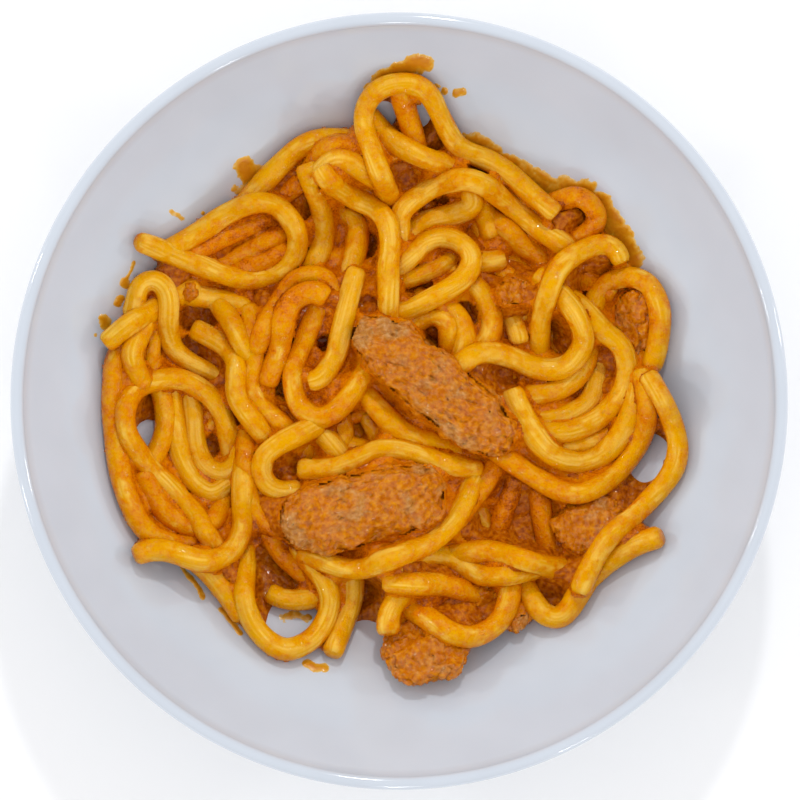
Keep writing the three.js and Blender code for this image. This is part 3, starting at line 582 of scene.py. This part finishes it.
# one noodle dropped onto the relief, which then rises to its top
def layNoodle(relief, places, hidden="", sink=0.0, ceiling=None, holds=True):
    flat = smoothRoute(places, noodleShape["sample"])
    lowest = np.array([restingHeight(relief, x, y) - sink for x, y in flat])
    if ceiling is not None:
        lowest = np.minimum(lowest, [ceiling(math.hypot(x, y)) for x, y in flat])
    lowest = np.maximum(lowest, [bowlClearance(x, y) for x, y in flat])
    heights = lowest.copy()
    for turn in range(noodleShape["stiffness"]):
        before = np.r_[heights[0], heights[:-1]]
        after = np.r_[heights[1:], heights[-1]]
        heights = np.maximum(lowest, (before + 2 * heights + after) / 4)
    points = np.c_[flat, heights]
    if holds:
        for x, y, z in points:
            cells, section = sectionAround(relief, x, y, noodleShape["contact"])
            np.copyto(cells, np.maximum(cells, z + section), where=section > 0)
    if hidden in ("start", "both"):
        points = divingEnd(points[::-1])[::-1]
    if hidden in ("end", "both"):
        points = divingEnd(points)
    return points


# the end at the last point goes on a little and sinks under what lies on it
def divingEnd(points):
    step = noodleShape["sample"]
    heading = points[-1] - points[-3]
    heading[2] = 0
    heading *= step / np.linalg.norm(heading)
    more = [points[-1] + heading * (i + 1) for i in range(int(round(noodleShape["under"] / step)))]
    longer = np.vstack([points, more])
    fromEnd = (len(longer) - 1 - np.arange(len(longer))) * step
    share = np.clip(1 - fromEnd / noodleShape["dive"], 0, 1)
    longer[:, 2] -= noodleShape["depth"] * share ** 2 * (3 - 2 * share)
    for point in longer:
        point[2] = max(point[2], bowlClearance(point[0], point[1]))
    return longer


# raises the relief to the top of a CAD solid
def layChunk(relief, node):
    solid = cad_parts[node].data
    tree = BVHTree.FromPolygons([v.co for v in solid.vertices], [p.vertices for p in solid.polygons])
    low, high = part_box(node)
    firstRow, firstColumn = (int((v + reliefHalf) / reliefStep) for v in (low.y, low.x))
    lastRow, lastColumn = (int((v + reliefHalf) / reliefStep) + 1 for v in (high.y, high.x))
    for row in range(firstRow, lastRow + 1):
        for column in range(firstColumn, lastColumn + 1):
            hit = tree.ray_cast(Vector((reliefAxis[column], reliefAxis[row], 1)), Vector((0, 0, -1)))[0]
            if hit:
                relief[row, column] = max(relief[row, column], hit.z)


# tubes along the routes, with the noodle's own straight coordinates for its pattern
def noodleMesh(routes, step, sides, seed):
    draw = random.Random(seed)
    radius = noodleShape["radius"]
    angles = np.linspace(0, 2 * math.pi, sides, endpoint=False)
    vertices, faces, straight, up, owner = [], [], [], [], []
    count = 0
    for number, (points, thickness) in enumerate(routes):
        line = evenlySpaced(points, step)
        for turn in range(2):
            line[1:-1] = (line[:-2] + 2 * line[1:-1] + line[2:]) / 4
        tangents = np.gradient(line, axis=0)
        tangents /= np.linalg.norm(tangents, axis=1)[:, None]
        side = np.cross(tangents, (0, 0, 1.0))
        side /= np.linalg.norm(side, axis=1)[:, None] + 1e-9
        rise = np.cross(side, tangents)
        along = np.arange(len(line)) * step + number * noodleShape["patternShift"]
        phase = draw.uniform(0, 2 * math.pi)
        swell = 1 + sum(share * np.sin(along / length + shift * phase)
                        for share, length, shift in noodleShape["swells"])
        ends = np.ones(len(line))
        for i, scale in enumerate(noodleShape["endScales"]):
            ends[[i, -1 - i]] = scale
        lobes = 1 + sum(share * np.cos(waves * angles + shift * phase)
                        for share, waves, shift in noodleShape["lobes"])
        rings = radius * thickness * (swell * ends)[:, None] * lobes[None, :]
        spin = angles[None, :] + along[:, None] / noodleShape["twist"] * draw.choice((-1, 1))
        ring = (line[:, None, :] + (rings * np.cos(spin))[:, :, None] * side[:, None, :]
                + (rings * np.sin(spin))[:, :, None] * rise[:, None, :])
        normal = np.cos(spin)[:, :, None] * side[:, None, :] + np.sin(spin)[:, :, None] * rise[:, None, :]
        vertices.append(ring.reshape(-1, 3))
        up.append(normal[:, :, 2].ravel())
        straight.append(np.stack([np.repeat(along, sides), np.tile(radius * np.cos(angles), len(line)),
                                  np.tile(radius * np.sin(angles), len(line))], axis=1))
        owner.append(np.full(len(line) * sides + 2, number))
        n = len(line)
        a = count + (np.arange(n - 1)[:, None] * sides + np.arange(sides)[None, :])
        b = count + (np.arange(n - 1)[:, None] * sides + (np.arange(sides)[None, :] + 1) % sides)
        faces += np.stack([a, b, b + sides, a + sides], axis=2).reshape(-1, 4).tolist()
        tip = noodleShape["tip"]
        vertices.append(np.array([line[0] - tangents[0] * tip, line[-1] + tangents[-1] * tip]))
        up.append(np.zeros(2))
        straight.append(np.array([[along[0], 0, 0], [along[-1], 0, 0]]))
        first, last = count + n * sides, count + n * sides + 1
        for i in range(sides):
            after = (i + 1) % sides
            faces.append((first, count + after, count + i))
            faces.append((last, count + (n - 1) * sides + i, count + (n - 1) * sides + after))
        count += n * sides + 2
    return np.vstack(vertices), faces, np.vstack(straight), np.concatenate(up), np.concatenate(owner)


# sauce on the noodles: the usual amount, and more or less by which way the surface faces: tops paler, partly
# sauce running off and partly painted sheen, undersides darker, partly sauce gathering and partly painted
# shade
sauceOnNoodles = {"usual": 0.24, "drainedWithSheenAndShade": 0.42, "gatheredWithShade": -0.4}


def makeNoodles(name, strands, step, sides, seed, material):
    routes = [(points, thickness) for points, sauce, thickness in strands]
    vertices, faces, straight, up, owner = noodleMesh(routes, step, sides, seed)
    piece = meshPiece(name, vertices, faces, material, sharpFrom=60)
    coats = np.array([sauce for points, sauce, thickness in strands])[owner]
    # painted sheen on the noodles' tops and painted shade on their undersides, along with the sauce's own
    # run-off
    drainedWithSheenAndShade = np.clip(up, sauceOnNoodles["gatheredWithShade"], 1) * sauceOnNoodles["drainedWithSheenAndShade"]
    addAttribute(piece, "straight", straight)
    addAttribute(piece, "sauce", coats - drainedWithSheenAndShade + sauceOnNoodles["usual"] + sauceAt(vertices))
    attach(piece, "root")
    return piece


# places where sauce has gathered: x, y, reach in millimetres, and how much
saucePlaces = [
    (-29, 24, 12, 0.35), (-43, 46, 10, 0.3), (-34, -44, 9, 0.25), (35, -31, 14, 0.3), (20, -58, 12, 0.3),
    (57, 42, 9, 0.25), (67, -8, 8, 0.25), (-19, -5, 8, 0.25), (50, 57, 8, 0.3), (-78, 0, 9, 0.2),
]


def sauceAt(vertices):
    amount = np.zeros(len(vertices))
    for x, y, reach, much in saucePlaces:
        near = (vertices[:, 0] / mm - x) ** 2 + (vertices[:, 1] / mm - y) ** 2
        amount += much * np.exp(-near / reach ** 2)
    return amount


def buildHeap(pasta, sauce):
    relief = insideHeight(reliefFar) + coreShape["gap"]
    inCore = reliefFar < coreShape["radius"]
    relief[inCore] = np.maximum(relief, coreHeight(reliefFar))[inCore]
    shown = []
    draw = random.Random(5)
    for name, *rest in heapOrder:
        if rest:
            coat, hidden, places = rest
            laid = layNoodle(relief, places, hidden)
            shown.append((laid, coat, draw.uniform(*noodleShape["thickness"])))
        else:
            layChunk(relief, name)
        for below, coat, places in tuckedNoodles:
            if below == name:
                laid = layNoodle(relief, places, "both", sink=noodleShape["tuck"], holds=False)
                shown.append((laid, coat, draw.uniform(*noodleShape["tuckedThickness"])))
    for name in ("sausage_upper", "sausage_lower"):
        layChunk(relief, name)
    noodles = makeNoodles("tangledNoodles", shown, noodleShape["step"], noodleShape["sides"], 3, pasta)
    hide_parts("pasta")
    highest = max(points[:, 2].max() for points, coat, thickness in shown)
    print("noodles laid:", len(shown), "highest", round(highest / mm, 1), "mm")
    deep = fillMiddle(pasta)
    food = [noodles, deep] + [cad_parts[n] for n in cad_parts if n.startswith("sausage_")]
    makeBed(food, sauce)
    makeWebs(food, [noodles, deep], pasta)
    return relief


# sauce between the noodles. Webs bridge neighbours, and the bed fills the gaps below: both lie under the
# surface of a ball that rolls over the heap
web = {
    "grid": 0.6 * mm,
    "ball": 2.6 * mm,
    "below": 1.75 * mm,
    "least": 0.1 * mm,
    "sunk": 0.3 * mm,
    "reach": 92 * mm,
    "patch": 12 * mm,
    "patchRise": 4.5 * mm,
    "lump": 1.5 * mm,
    "lumpRise": 0.25 * mm,
    "mostRise": 1.3 * mm,
    "sauce": 1.15,
    "pinhole": 1.2 * mm,  # smaller holes in the heap are closed
    "freeDepth": 2.2 * mm,  # noodles are painted darker, as shade, from this depth,
    "fullDepth": 5.5 * mm,  # over this further depth
    "paintedDeepShade": 1.2,
}
bed = {
    "grid": 0.9 * mm,
    "ball": 7 * mm,
    "below": 6.2 * mm,
    "bridged": 6.5 * mm,  # gaps up to twice as wide are sauce
    "inside": 4 * mm,  # it stays this far inside the outermost noodles
    "slope": 3 * mm,
    "underTop": 1.6 * mm,  # it stays this far below the ball's surface
    "film": 0.15 * mm,
    "thinnest": 1.2 * mm,
    "sunk": 0.3 * mm,
    "dryRim": 2.2 * mm,  # round a dry place it slopes under the glaze, this far in,
    "drySlope": 1.2,  # this steeply
    "dryRagged": 0.4,
    "darkDrop": 4 * mm,
    "patch": 11 * mm,
    "patchRise": 4.5 * mm,
    "lump": 2.2 * mm,
    "lumpRise": 0.55 * mm,
}
# where meat and sauce lie thick: x, y, reach and rise in millimetres
thickSauce = [
    (17.6, -58.8, 9, 3.5), (35, -33, 13, 4), (-38, -33, 8, 3), (-51.7, 45, 10, 2.2), (49.3, 50.8, 6, 1.5),
    (-56, 7.5, 5, 1), (-53, 26, 7, 1.2), (55, 39, 8, 2), (50.7, 29.2, 6, 1.5), (33.4, 33.5, 6, 3.2),
    (-35, 60, 9, 2), (-30, -33, 6, 1.5), (59, -24, 6, 1.5), (2, -27, 8, 1), (-16, -28, 8, 1),
]
# where the glaze shows between noodles: x, y and reach in millimetres
dryPlaces = [
    (-73, -9.5, 3.6), (-71.5, -14, 3.6), (73.5, -13.5, 4.2), (72, -19, 4.2), (-31, -65.5, 8),
    (-4.6, 83.4, 4.2), (6.5, 82.5, 3.6), (-9, -71, 7),
]
# where the heap is open down to dark gaps: x, y and reach in millimetres
darkPlaces = [
    (-1.8, 63.8, 3.5), (22.8, 67.3, 3), (8.3, 57.2, 3.5), (6, 32.9, 4), (19, 24.8, 4), (11.8, 19.1, 4),
    (43.5, 20.5, 3.5), (55.1, 29.2, 3), (-12.7, -7.5, 3.5), (-32.3, 3.2, 3.5), (-49.4, -27.7, 3.5),
    (-32.9, -50.7, 3.5), (-10.4, 45.6, 4), (-12.7, 57.2, 3.5), (-30.9, 16.2, 2.5), (-60.3, 24, 3.5),
    (-21.4, 16.8, 2.5), (-71, 1, 3), (-49, -5, 3), (-11.5, -55, 3.5),
]


# how high the given pieces are at each point of a grid, and -1 where there is none
def topHeights(objects, axis):
    heights = np.full((len(axis), len(axis)), -1.0)
    for item in objects:
        mesh = item.data
        tree = BVHTree.FromPolygons([v.co for v in mesh.vertices], [p.vertices for p in mesh.polygons])
        corners = np.array([v.co for v in mesh.vertices])
        low, high = corners.min(axis=0), corners.max(axis=0)
        columns = np.flatnonzero((axis > low[0]) & (axis < high[0]))
        for row in np.flatnonzero((axis > low[1]) & (axis < high[1])):
            for column in columns:
                hit = tree.ray_cast(Vector((axis[column], axis[row], 1)), Vector((0, 0, -1)))[0]
                if hit and hit.z > heights[row, column]:
                    heights[row, column] = hit.z
    return heights


# a grid over the heap, the glaze's height there and the food's
def surveyHeap(food, step):
    axis = np.arange(-web["reach"], web["reach"], step)
    grid = np.meshgrid(axis, axis)
    return axis, grid, insideHeight(np.hypot(*grid)), topHeights(food, axis)


# how far each point of a grid is from a place in millimetres
def awayFrom(grid, x, y):
    return np.hypot(grid[0] - x * mm, grid[1] - y * mm)


# where a ball's middle can go over a relief, or with no lift where its underside then reaches
def rollBall(heights, radius, step, lift):
    reach = int(radius / step)
    rolled = np.full(heights.shape, -np.inf if lift else np.inf)
    for down in range(-reach, reach + 1):
        for across in range(-reach, reach + 1):
            away = math.hypot(down, across) * step
            if away > radius:
                continue
            cap = math.sqrt(radius ** 2 - away ** 2)
            moved = np.roll(heights, (down, across), (0, 1))
            rolled = np.maximum(rolled, moved + cap) if lift else np.minimum(rolled, moved - cap)
    return rolled


# the surface under a ball that rolls over the heap
def rolledOver(top, shape):
    middles = rollBall(top, shape["ball"], shape["grid"], True)
    return rollBall(middles, shape["ball"], shape["grid"], False)


# a mesh over the cells of a height field that have enough of their corners kept
def fieldMesh(name, axis, level, keep, material, enough=4):
    kept = keep[:-1, :-1].astype(int) + keep[1:, :-1] + keep[:-1, 1:] + keep[1:, 1:]
    number = -np.ones(level.shape, int)
    used, faces = [], []
    for row, column in np.argwhere(kept >= enough):
        corners = []
        for r, c in ((row, column), (row, column + 1), (row + 1, column + 1), (row + 1, column)):
            if number[r, c] < 0:
                number[r, c] = len(used)
                used.append((r, c))
            corners.append(number[r, c])
        faces.append(corners)
    rows, columns = np.array(used).T
    spots = np.stack([axis[columns], axis[rows], level[rows, columns]], axis=1)
    piece = meshPiece(name, spots, faces, material)
    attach(piece, "root")
    print(name + ":", len(faces), "faces")
    return piece, spots, rows, columns


# a mask with the points near it added
def grown(mask, radius, step):
    reach = int(round(radius / step))
    result = mask.copy()
    for down in range(-reach, reach + 1):
        for across in range(-reach, reach + 1):
            if math.hypot(down, across) <= reach:
                result |= np.roll(mask, (down, across), (0, 1))
    return result


# patches and lumps of sauce, worked out where they are wanted
def roughness(axis, wanted, shape):
    rough = np.zeros(wanted.shape)
    for row, column in np.argwhere(wanted):
        here = Vector((axis[column], axis[row], 0))
        rough[row, column] = (noise.fractal(here / shape["patch"], 1.0, 2.0, 2) * shape["patchRise"]
                              + noise.fractal(here / shape["lump"], 1.0, 2.0, 3) * shape["lumpRise"])
    return rough


# painted shade: what lies deep in the heap gets more of the dark sauce colour, the deeper below the web's
# ball, the darker
def paintedShadeBelow(piece, axis, closed):
    count = len(piece.data.vertices)
    spots = np.empty(count * 3, np.float32)
    piece.data.vertices.foreach_get("co", spots)
    spots = spots.reshape(-1, 3)
    columns, rows = (np.clip(np.searchsorted(axis, spots[:, k]), 0, len(axis) - 1) for k in (0, 1))
    buried = closed[rows, columns] - spots[:, 2]
    sauce = np.empty(count, np.float32)
    attribute = piece.data.attributes["sauce"]
    attribute.data.foreach_get("value", sauce)
    more = np.clip((buried - web["freeDepth"]) / web["fullDepth"], 0, 1) * web["paintedDeepShade"]
    attribute.data.foreach_set("value", sauce + more.astype(np.float32))


def makeWebs(food, noodles, material):
    step = web["grid"]
    axis, grid, bare, heights = surveyHeap(food, step)
    top = np.maximum(heights, bare)
    closed = rolledOver(top, web)
    # painted shade on the noodles deep in the heap
    for piece in noodles:
        paintedShadeBelow(piece, axis, closed)
    covered = ~grown(~grown(heights > 0, web["pinhole"], step), web["pinhole"], step)
    for x, y, reach in dryPlaces + darkPlaces:
        covered &= awayFrom(grid, x, y) > reach * mm
    wanted = (closed - top > web["least"]) & covered
    webTop = closed - web["below"] + np.minimum(roughness(axis, wanted, web), web["mostRise"])
    shows = (webTop - top > web["least"]) & wanted
    level = np.where(shows, webTop, top - web["sunk"])
    piece, spots = fieldMesh("sauceWebs", axis, level, grown(shows, 2 * step, step), material)[:2]
    addAttribute(piece, "straight", spots)
    addAttribute(piece, "sauce", web["sauce"] + sauceAt(spots))


def makeBed(food, material):
    step = bed["grid"]
    axis, grid, bare, heights = surveyHeap(food, step)
    outside = ~grown(heights > 0, bed["bridged"], step)
    inside = ~grown(outside, bed["bridged"] + bed["inside"], step)
    toDry = np.min([awayFrom(grid, x, y) - reach * mm for x, y, reach in dryPlaces], axis=0)
    toDark = np.min([awayFrom(grid, x, y) / (reach * mm) for x, y, reach in darkPlaces], axis=0)
    inside &= toDry > -bed["dryRim"]
    closed = rolledOver(np.where(heights > 0, heights, bare), bed)
    thick = [rise * mm * np.exp(-(awayFrom(grid, x, y) / (reach * mm)) ** 2)
             for x, y, reach, rise in thickSauce]
    rough = roughness(axis, inside, bed)
    level = np.minimum(closed - bed["below"] + np.max(thick, axis=0) + rough, closed - bed["underTop"])
    level -= bed["darkDrop"] * np.exp(-toDark ** 2 / 2)
    fromEdge = np.zeros(level.shape)
    ring = inside
    while ring.any() and fromEdge.max() < bed["slope"]:
        fromEdge[ring] += step
        ring = ~grown(~ring, step, step)
    share = np.sin(np.clip(fromEdge / bed["slope"], 0, 1) * math.pi / 2)
    level = bare + bed["film"] + np.maximum(level - bare, bed["thinnest"]) * share
    level = np.minimum(level, bare + toDry * bed["drySlope"] + rough * bed["dryRagged"])
    level = np.where(inside, level, bare - bed["sunk"])
    fieldMesh("sauceBed", axis, level, grown(inside, step, step), material)


# the tangle below: seeded noodles between the sauce on the floor and those that show
middle = {
    "count": 90,
    "reach": 60 * mm,
    "length": (30, 75),  # in millimetres, as are its strides,
    "stride": 6,
    "bend": 0.09,  # and its bends in radians for each millimetre
    "mostBend": 0.12,
    "bendChange": 0.05,
    "fewest": 4,  # places that a noodle runs through
    "depths": (2.6 * mm, 8 * mm),  # below the top of the core
    "coats": (0.5, 0.95),
    "thickness": (0.92, 1.02),
    "sides": 12,
    "step": 1.6 * mm,
}


def fillMiddle(pasta):
    draw = random.Random(21)
    relief = np.maximum(insideHeight(reliefFar) + coreShape["gap"], 0)
    stride, most, change = middle["stride"], middle["mostBend"], middle["bendChange"]
    strands = []
    while len(strands) < middle["count"]:
        distance = middle["reach"] / mm * math.sqrt(draw.random())
        turn = draw.uniform(0, 2 * math.pi)
        x, y = distance * math.cos(turn), distance * math.sin(turn)
        heading, bend = draw.uniform(0, 2 * math.pi), draw.uniform(-middle["bend"], middle["bend"])
        places = [(x, y)]
        for _ in range(int(draw.uniform(*middle["length"]) / stride)):
            bend = max(-most, min(most, bend + draw.uniform(-change, change)))
            heading += bend * stride
            x, y = x + stride * math.cos(heading), y + stride * math.sin(heading)
            if math.hypot(x, y) * mm > middle["reach"]:
                break
            places.append((x, y))
        if len(places) < middle["fewest"]:
            continue
        depth = draw.uniform(*middle["depths"])
        laid = layNoodle(relief, places, ceiling=lambda d, depth=depth: coreHeight(d) - depth)
        strands.append((laid, draw.uniform(*middle["coats"]), draw.uniform(*middle["thickness"])))
    return makeNoodles("deepNoodles", strands, middle["step"], middle["sides"], 11, pasta)


# sausage: the CAD solid, made finer and crumbled
sausageLook = {
    "divide": 3,
    "lumps": (6 * mm, 1.6 * mm),  # size and rise
    "crumbs": (1.8 * mm, 0.35 * mm),
    "crackSpacing": 7.5 * mm,
    "crackDepth": 0.9 * mm,
    "crackWidth": 0.12,
    "crackBend": (4 * mm, 0.5),
}
# how much sauce is on a chunk, beyond the usual
sauceOnMeat = {"sausage_loop": 0.1, "sausage_crumb": 0.14, "sausage_low": 0.2, "sausage_right": 0.06,
               "sausage_front": 0.06, "sausage_lower": 0.02}


def makeSausages(material):
    look = sausageLook
    lumpSize, lumpRise = look["lumps"]
    crumbSize, crumbRise = look["crumbs"]
    bendSize, bendShare = look["crackBend"]
    for name in [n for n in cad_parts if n.startswith("sausage_")]:
        piece = addObject(name.replace("sausage_", "sausageChunk_"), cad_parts[name].data.copy())
        piece.data.materials.clear()
        piece.data.materials.append(material)
        piece.modifiers.new("weld", "WELD").merge_threshold = 0.01 * mm
        finer = piece.modifiers.new("finer", "SUBSURF")
        finer.levels = finer.render_levels = look["divide"]
        graph = bpy.context.evaluated_depsgraph_get()
        final = bpy.data.meshes.new_from_object(piece.evaluated_get(graph))
        piece.modifiers.clear()
        piece.data = final
        final.polygons.foreach_set("use_smooth", [True] * len(final.polygons))
        outward = [Vector(n.vector) for n in final.vertex_normals]
        places = []
        for vertex, normal in zip(final.vertices, outward):
            here = vertex.co
            lump = noise.fractal(here / lumpSize, 0.8, 2.1, 4) * lumpRise
            crumb = noise.fractal(here / crumbSize, 1.0, 2.0, 3) * crumbRise
            bend = noise.noise_vector(here / bendSize) * bendShare
            fromCrack = abs(noise.noise(here / look["crackSpacing"] + bend)) / look["crackWidth"]
            crack = max(0, 1 - fromCrack) * look["crackDepth"]
            places.extend(here + normal * (lump + crumb - crack))
        final.vertices.foreach_set("co", places)
        addAttribute(piece, "sauce", [sauceOnMeat.get(name, 0)] * len(final.vertices))
        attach(piece, "root")
        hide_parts(name)


# sauce on the glaze: strokes of places, width and thickness in millimetres
sauceMarks = {
    "blobTop": ([(-44.8, 67.8), (-43.8, 66)], 3.5, 0.75),
    "blobTopFilm": ([(-43, 64.5), (-40, 66.5), (-38.5, 67)], 2.2, 0.35),
    "blobTopSpill": ([(-47, 61.5), (-44, 60.5), (-41, 61)], 1.6, 0.3),
    "dropLeft": ([(-57, 54.6)], 0.6, 0.3),
    "drip": ([(-76.7, 40), (-77.6, 37.5), (-79, 35)], 0.5, 0.3),
    "dripDrop": ([(-79.2, 34)], 1.4, 0.5),
    "dropTwo": ([(-81.3, 28.6), (-80.8, 29.6)], 1.1, 0.4),
    "dropThree": ([(-85.4, 24), (-84.8, 22.5)], 1.6, 0.5),
    "dropFour": ([(-87.5, 19)], 0.5, 0.3),
    "streakHook": ([(-66, 55), (-62.5, 52.5)], 0.5, 0.1),
    "smearTop": ([(-8, 89.5), (-4, 93.5), (1, 95.5), (4.5, 96.8)], 2.4, 0.6),
    "smearTopBlob": ([(5.5, 96.5), (7.5, 96.5)], 2.3, 0.7),
    "specksTopA": ([(10.5, 91), (11.5, 90.5)], 0.6, 0.3),
    "specksTopB": ([(13, 89.3)], 0.9, 0.4),
    "blobTopRight": ([(16.5, 88.6), (18.5, 89.2)], 1.3, 0.5),
    "smearRightA": ([(17.5, 76), (22, 76.5), (27, 73.5), (31, 70.5)], 1.7, 0.35),
    "smearRightB": ([(33, 70), (40, 66.5), (46, 63)], 1.5, 0.4),
    "smearRightC": ([(35, 67), (41, 63.5), (45, 60)], 1.8, 0.5),
    "bigSmear": ([(48, 62.5), (54, 61), (59, 57), (63, 51), (66, 45), (68, 41)], 3.0, 0.6),
    "bigSmearInner": ([(57, 55), (60.5, 50), (64, 44)], 3.2, 0.45),
    "thinLineA": ([(-63, -48.5), (-61, -51), (-58, -54.5), (-57, -57)], 0.7, 0.45),
    "thinLineB": ([(-52, -60.5), (-49, -63.5), (-46, -67.5)], 0.7, 0.4),
    "thinLineC": ([(-27, -76), (-24.5, -77.5), (-21.5, -77.5)], 1.2, 0.5),
    "filmInLoop": ([(-34, -63.5), (-30, -62.5), (-27, -63.5)], 1.1, 0.25),
    "lowerFilm": ([(-56, -50), (-50, -57), (-47, -63)], 2.2, 0.35),
}


markShape = {
    "grid": 0.35 * mm,
    "reach": 100 * mm,
    "spacing": 0.5 * mm,
    "wander": (3 * mm, 0.4),  # a stroke's width varies over this length, by this share
    "ragged": (2.4 * mm, 0.3),  # its edge is ragged in grains of this size, by this much
    "edge": -0.02,
    "raggedFrom": -0.6,
    "lifted": (-0.12, 0.45),
    "lift": 0.9 * mm,
    "darkening": 1.6,
}


def makeSauceMarks(material):
    shape = markShape
    wanderSize, wanderShare = shape["wander"]
    raggedSize, raggedShare = shape["ragged"]
    side = int(2 * shape["reach"] / shape["grid"])
    axis = (np.arange(side) - side / 2) * shape["grid"]
    gridX, gridY = np.meshgrid(axis, axis)
    film = np.full(gridX.shape, -1.0)
    for places, width, thickness in sauceMarks.values():
        points = np.array(places, float) * mm
        if len(points) > 1:
            points = evenlySpaced(points, shape["spacing"])
        for x, y in points:
            reach = width * mm * (1 + wanderShare * noise.noise(Vector((x, y, width)) / wanderSize))
            c0, c1 = np.searchsorted(axis, (x - 2 * reach, x + 2 * reach))
            r0, r1 = np.searchsorted(axis, (y - 2 * reach, y + 2 * reach))
            near = np.hypot(gridX[r0:r1, c0:c1] - x, gridY[r0:r1, c0:c1] - y) / reach
            film[r0:r1, c0:c1] = np.maximum(film[r0:r1, c0:c1], thickness * (1 - near ** 2))
    for row, column in np.argwhere(film > shape["raggedFrom"]):
        here = Vector((axis[column], axis[row], 0))
        film[row, column] += raggedShare * noise.fractal(here / raggedSize, 0.8, 2.0, 4)
    level = insideHeight(np.hypot(gridX, gridY)) + np.clip(film, *shape["lifted"]) * shape["lift"]
    piece, spots, rows, columns = fieldMesh("sauceMarks", axis, level, film > shape["edge"], material, 1)
    addAttribute(piece, "depth", np.clip(film[rows, columns] * shape["darkening"], 0, 1))


# bits of sausage between the noodles: x, y and size in millimetres
meatBits = [(-61, 31.5, 3.3), (-50, 45, 1.8), (49.5, 51, 1.8), (31, -36, 1.9), (44.5, -54.5, 2.0),
            (46, -56, 1.5), (36, -40, 1.7), (38, -33, 1.5), (13, -57, 1.8), (-35, 62, 1.6)]


crumbShape = {
    "sunk": 0.7,
    "stretch": ((0.7, 1.3), (0.7, 1.3), (0.6, 1.0)),
    "grain": 1.4 * mm,
    "rough": 0.5,
    "sauce": 0.2,
}


def makeCrumbs(relief, material):
    draw = random.Random(31)
    whole = bmesh.new()
    for x, y, size in meatBits:
        column, row = (int((v * mm + reliefHalf) / reliefStep) for v in (x, y))
        middlePlace = Vector((x * mm, y * mm, relief[row, column] - crumbShape["sunk"] * size * mm))
        made = bmesh.ops.create_icosphere(whole, subdivisions=3, radius=size * mm)["verts"]
        stretch = Vector([draw.uniform(*span) for span in crumbShape["stretch"]])
        shift = Vector([draw.uniform(0, 9) for _ in range(3)])
        for vertex in made:
            grain = noise.fractal(vertex.co / crumbShape["grain"] + shift, 0.8, 2.0, 3)
            vertex.co = vertex.co * (1 + crumbShape["rough"] * grain) * stretch + middlePlace
    mesh = bpy.data.meshes.new("sausageCrumbs")
    whole.to_mesh(mesh)
    whole.free()
    mesh.shade_smooth()
    mesh.materials.append(material)
    piece = addObject("sausageCrumbs", mesh)
    addAttribute(piece, "sauce", [crumbShape["sauce"]] * len(mesh.vertices))
    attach(piece, "root")


# the photograph looks straight down; the rim is 389.5 pixels out in an 800 pixel image
cameraView = {
    "rimPixels": 389.5,
    "imagePixels": 800,
    "above": 1.02,
    "shiftX": 0.9,
    "shiftY": 1.1,
    "sensor": 36.0,
}


def makeCamera():
    v = cameraView
    pixel = bowlShape["radius"] / v["rimPixels"]
    data = bpy.data.cameras.new("overhead")
    data.sensor_width = v["sensor"]
    data.lens = v["sensor"] * v["above"] / (pixel * v["imagePixels"])
    camera = addObject("overhead", data)
    camera.location = (v["shiftX"] * pixel, v["shiftY"] * pixel, bowlShape["height"] + v["above"])
    bpy.context.scene.camera = camera


lighting = {
    "key": {"azimuth": 84, "zenith": 46, "distance": 1.5, "size": 0.08, "power": 4.8},
    "fills": [(11, 36), (-63, 26), (-90, 26), (-165, 26), (160, 36)],  # azimuth and share
    "fillZenith": 68,
    "fillDistance": 1.3,
    "fillSize": 0.1,
    "fillPower": 1 / 22,  # for each share
    "sky": "#f4f4f6",
    "skyStrength": 1.0,
}


def aimedLight(name, azimuth, zenith, distance, size, power):
    data = bpy.data.lights.new(name, "AREA")
    data.size = size
    data.energy = power
    light = addObject(name, data)
    a, z = math.radians(azimuth), math.radians(zenith)
    away = Vector((math.cos(a) * math.sin(z), math.sin(a) * math.sin(z), math.cos(z)))
    light.location = away * distance
    light.rotation_euler = away.to_track_quat("Z", "Y").to_euler()


def makeLights():
    key = lighting["key"]
    aimedLight("keyLight", key["azimuth"], key["zenith"], key["distance"], key["size"], key["power"])
    for i, (azimuth, share) in enumerate(lighting["fills"]):
        aimedLight("softLight" + str(i), azimuth, lighting["fillZenith"], lighting["fillDistance"],
                   lighting["fillSize"], lighting["fillPower"] * share)
    world = bpy.data.worlds.new("studio")
    world.use_nodes = True
    tree = world.node_tree
    tree.nodes.clear()
    sky = addNode(tree, "ShaderNodeBackground",
                  inputs={"Color": toLinear(lighting["sky"]), "Strength": lighting["skyStrength"]})
    addNode(tree, "ShaderNodeOutputWorld", links={"Surface": sky.outputs["Background"]})
    bpy.context.scene.world = world
    bpy.context.scene.view_settings.view_transform = "Standard"


def makeFloor():
    half = 1.5
    corners = [(-half, -half, 0), (half, -half, 0), (half, half, 0), (-half, half, 0)]
    meshPiece("studioFloor", corners, [(0, 1, 2, 3)], paleFloor())


makeCamera()
makeLights()
makeFloor()
print("camera, lights and floor made")
makeBowl(glazedPorcelain())
print("bowl made")
pastaLook, sauceLook, meatLook = saucedPasta(), meatSauce(), crumbledSausage()
relief = buildHeap(pastaLook, sauceLook)
makeSausages(meatLook)
print("sausage made")
makeSauceMarks(sauceFilm())
makeCrumbs(relief, meatLook)
print("sauce marks and crumbs made")
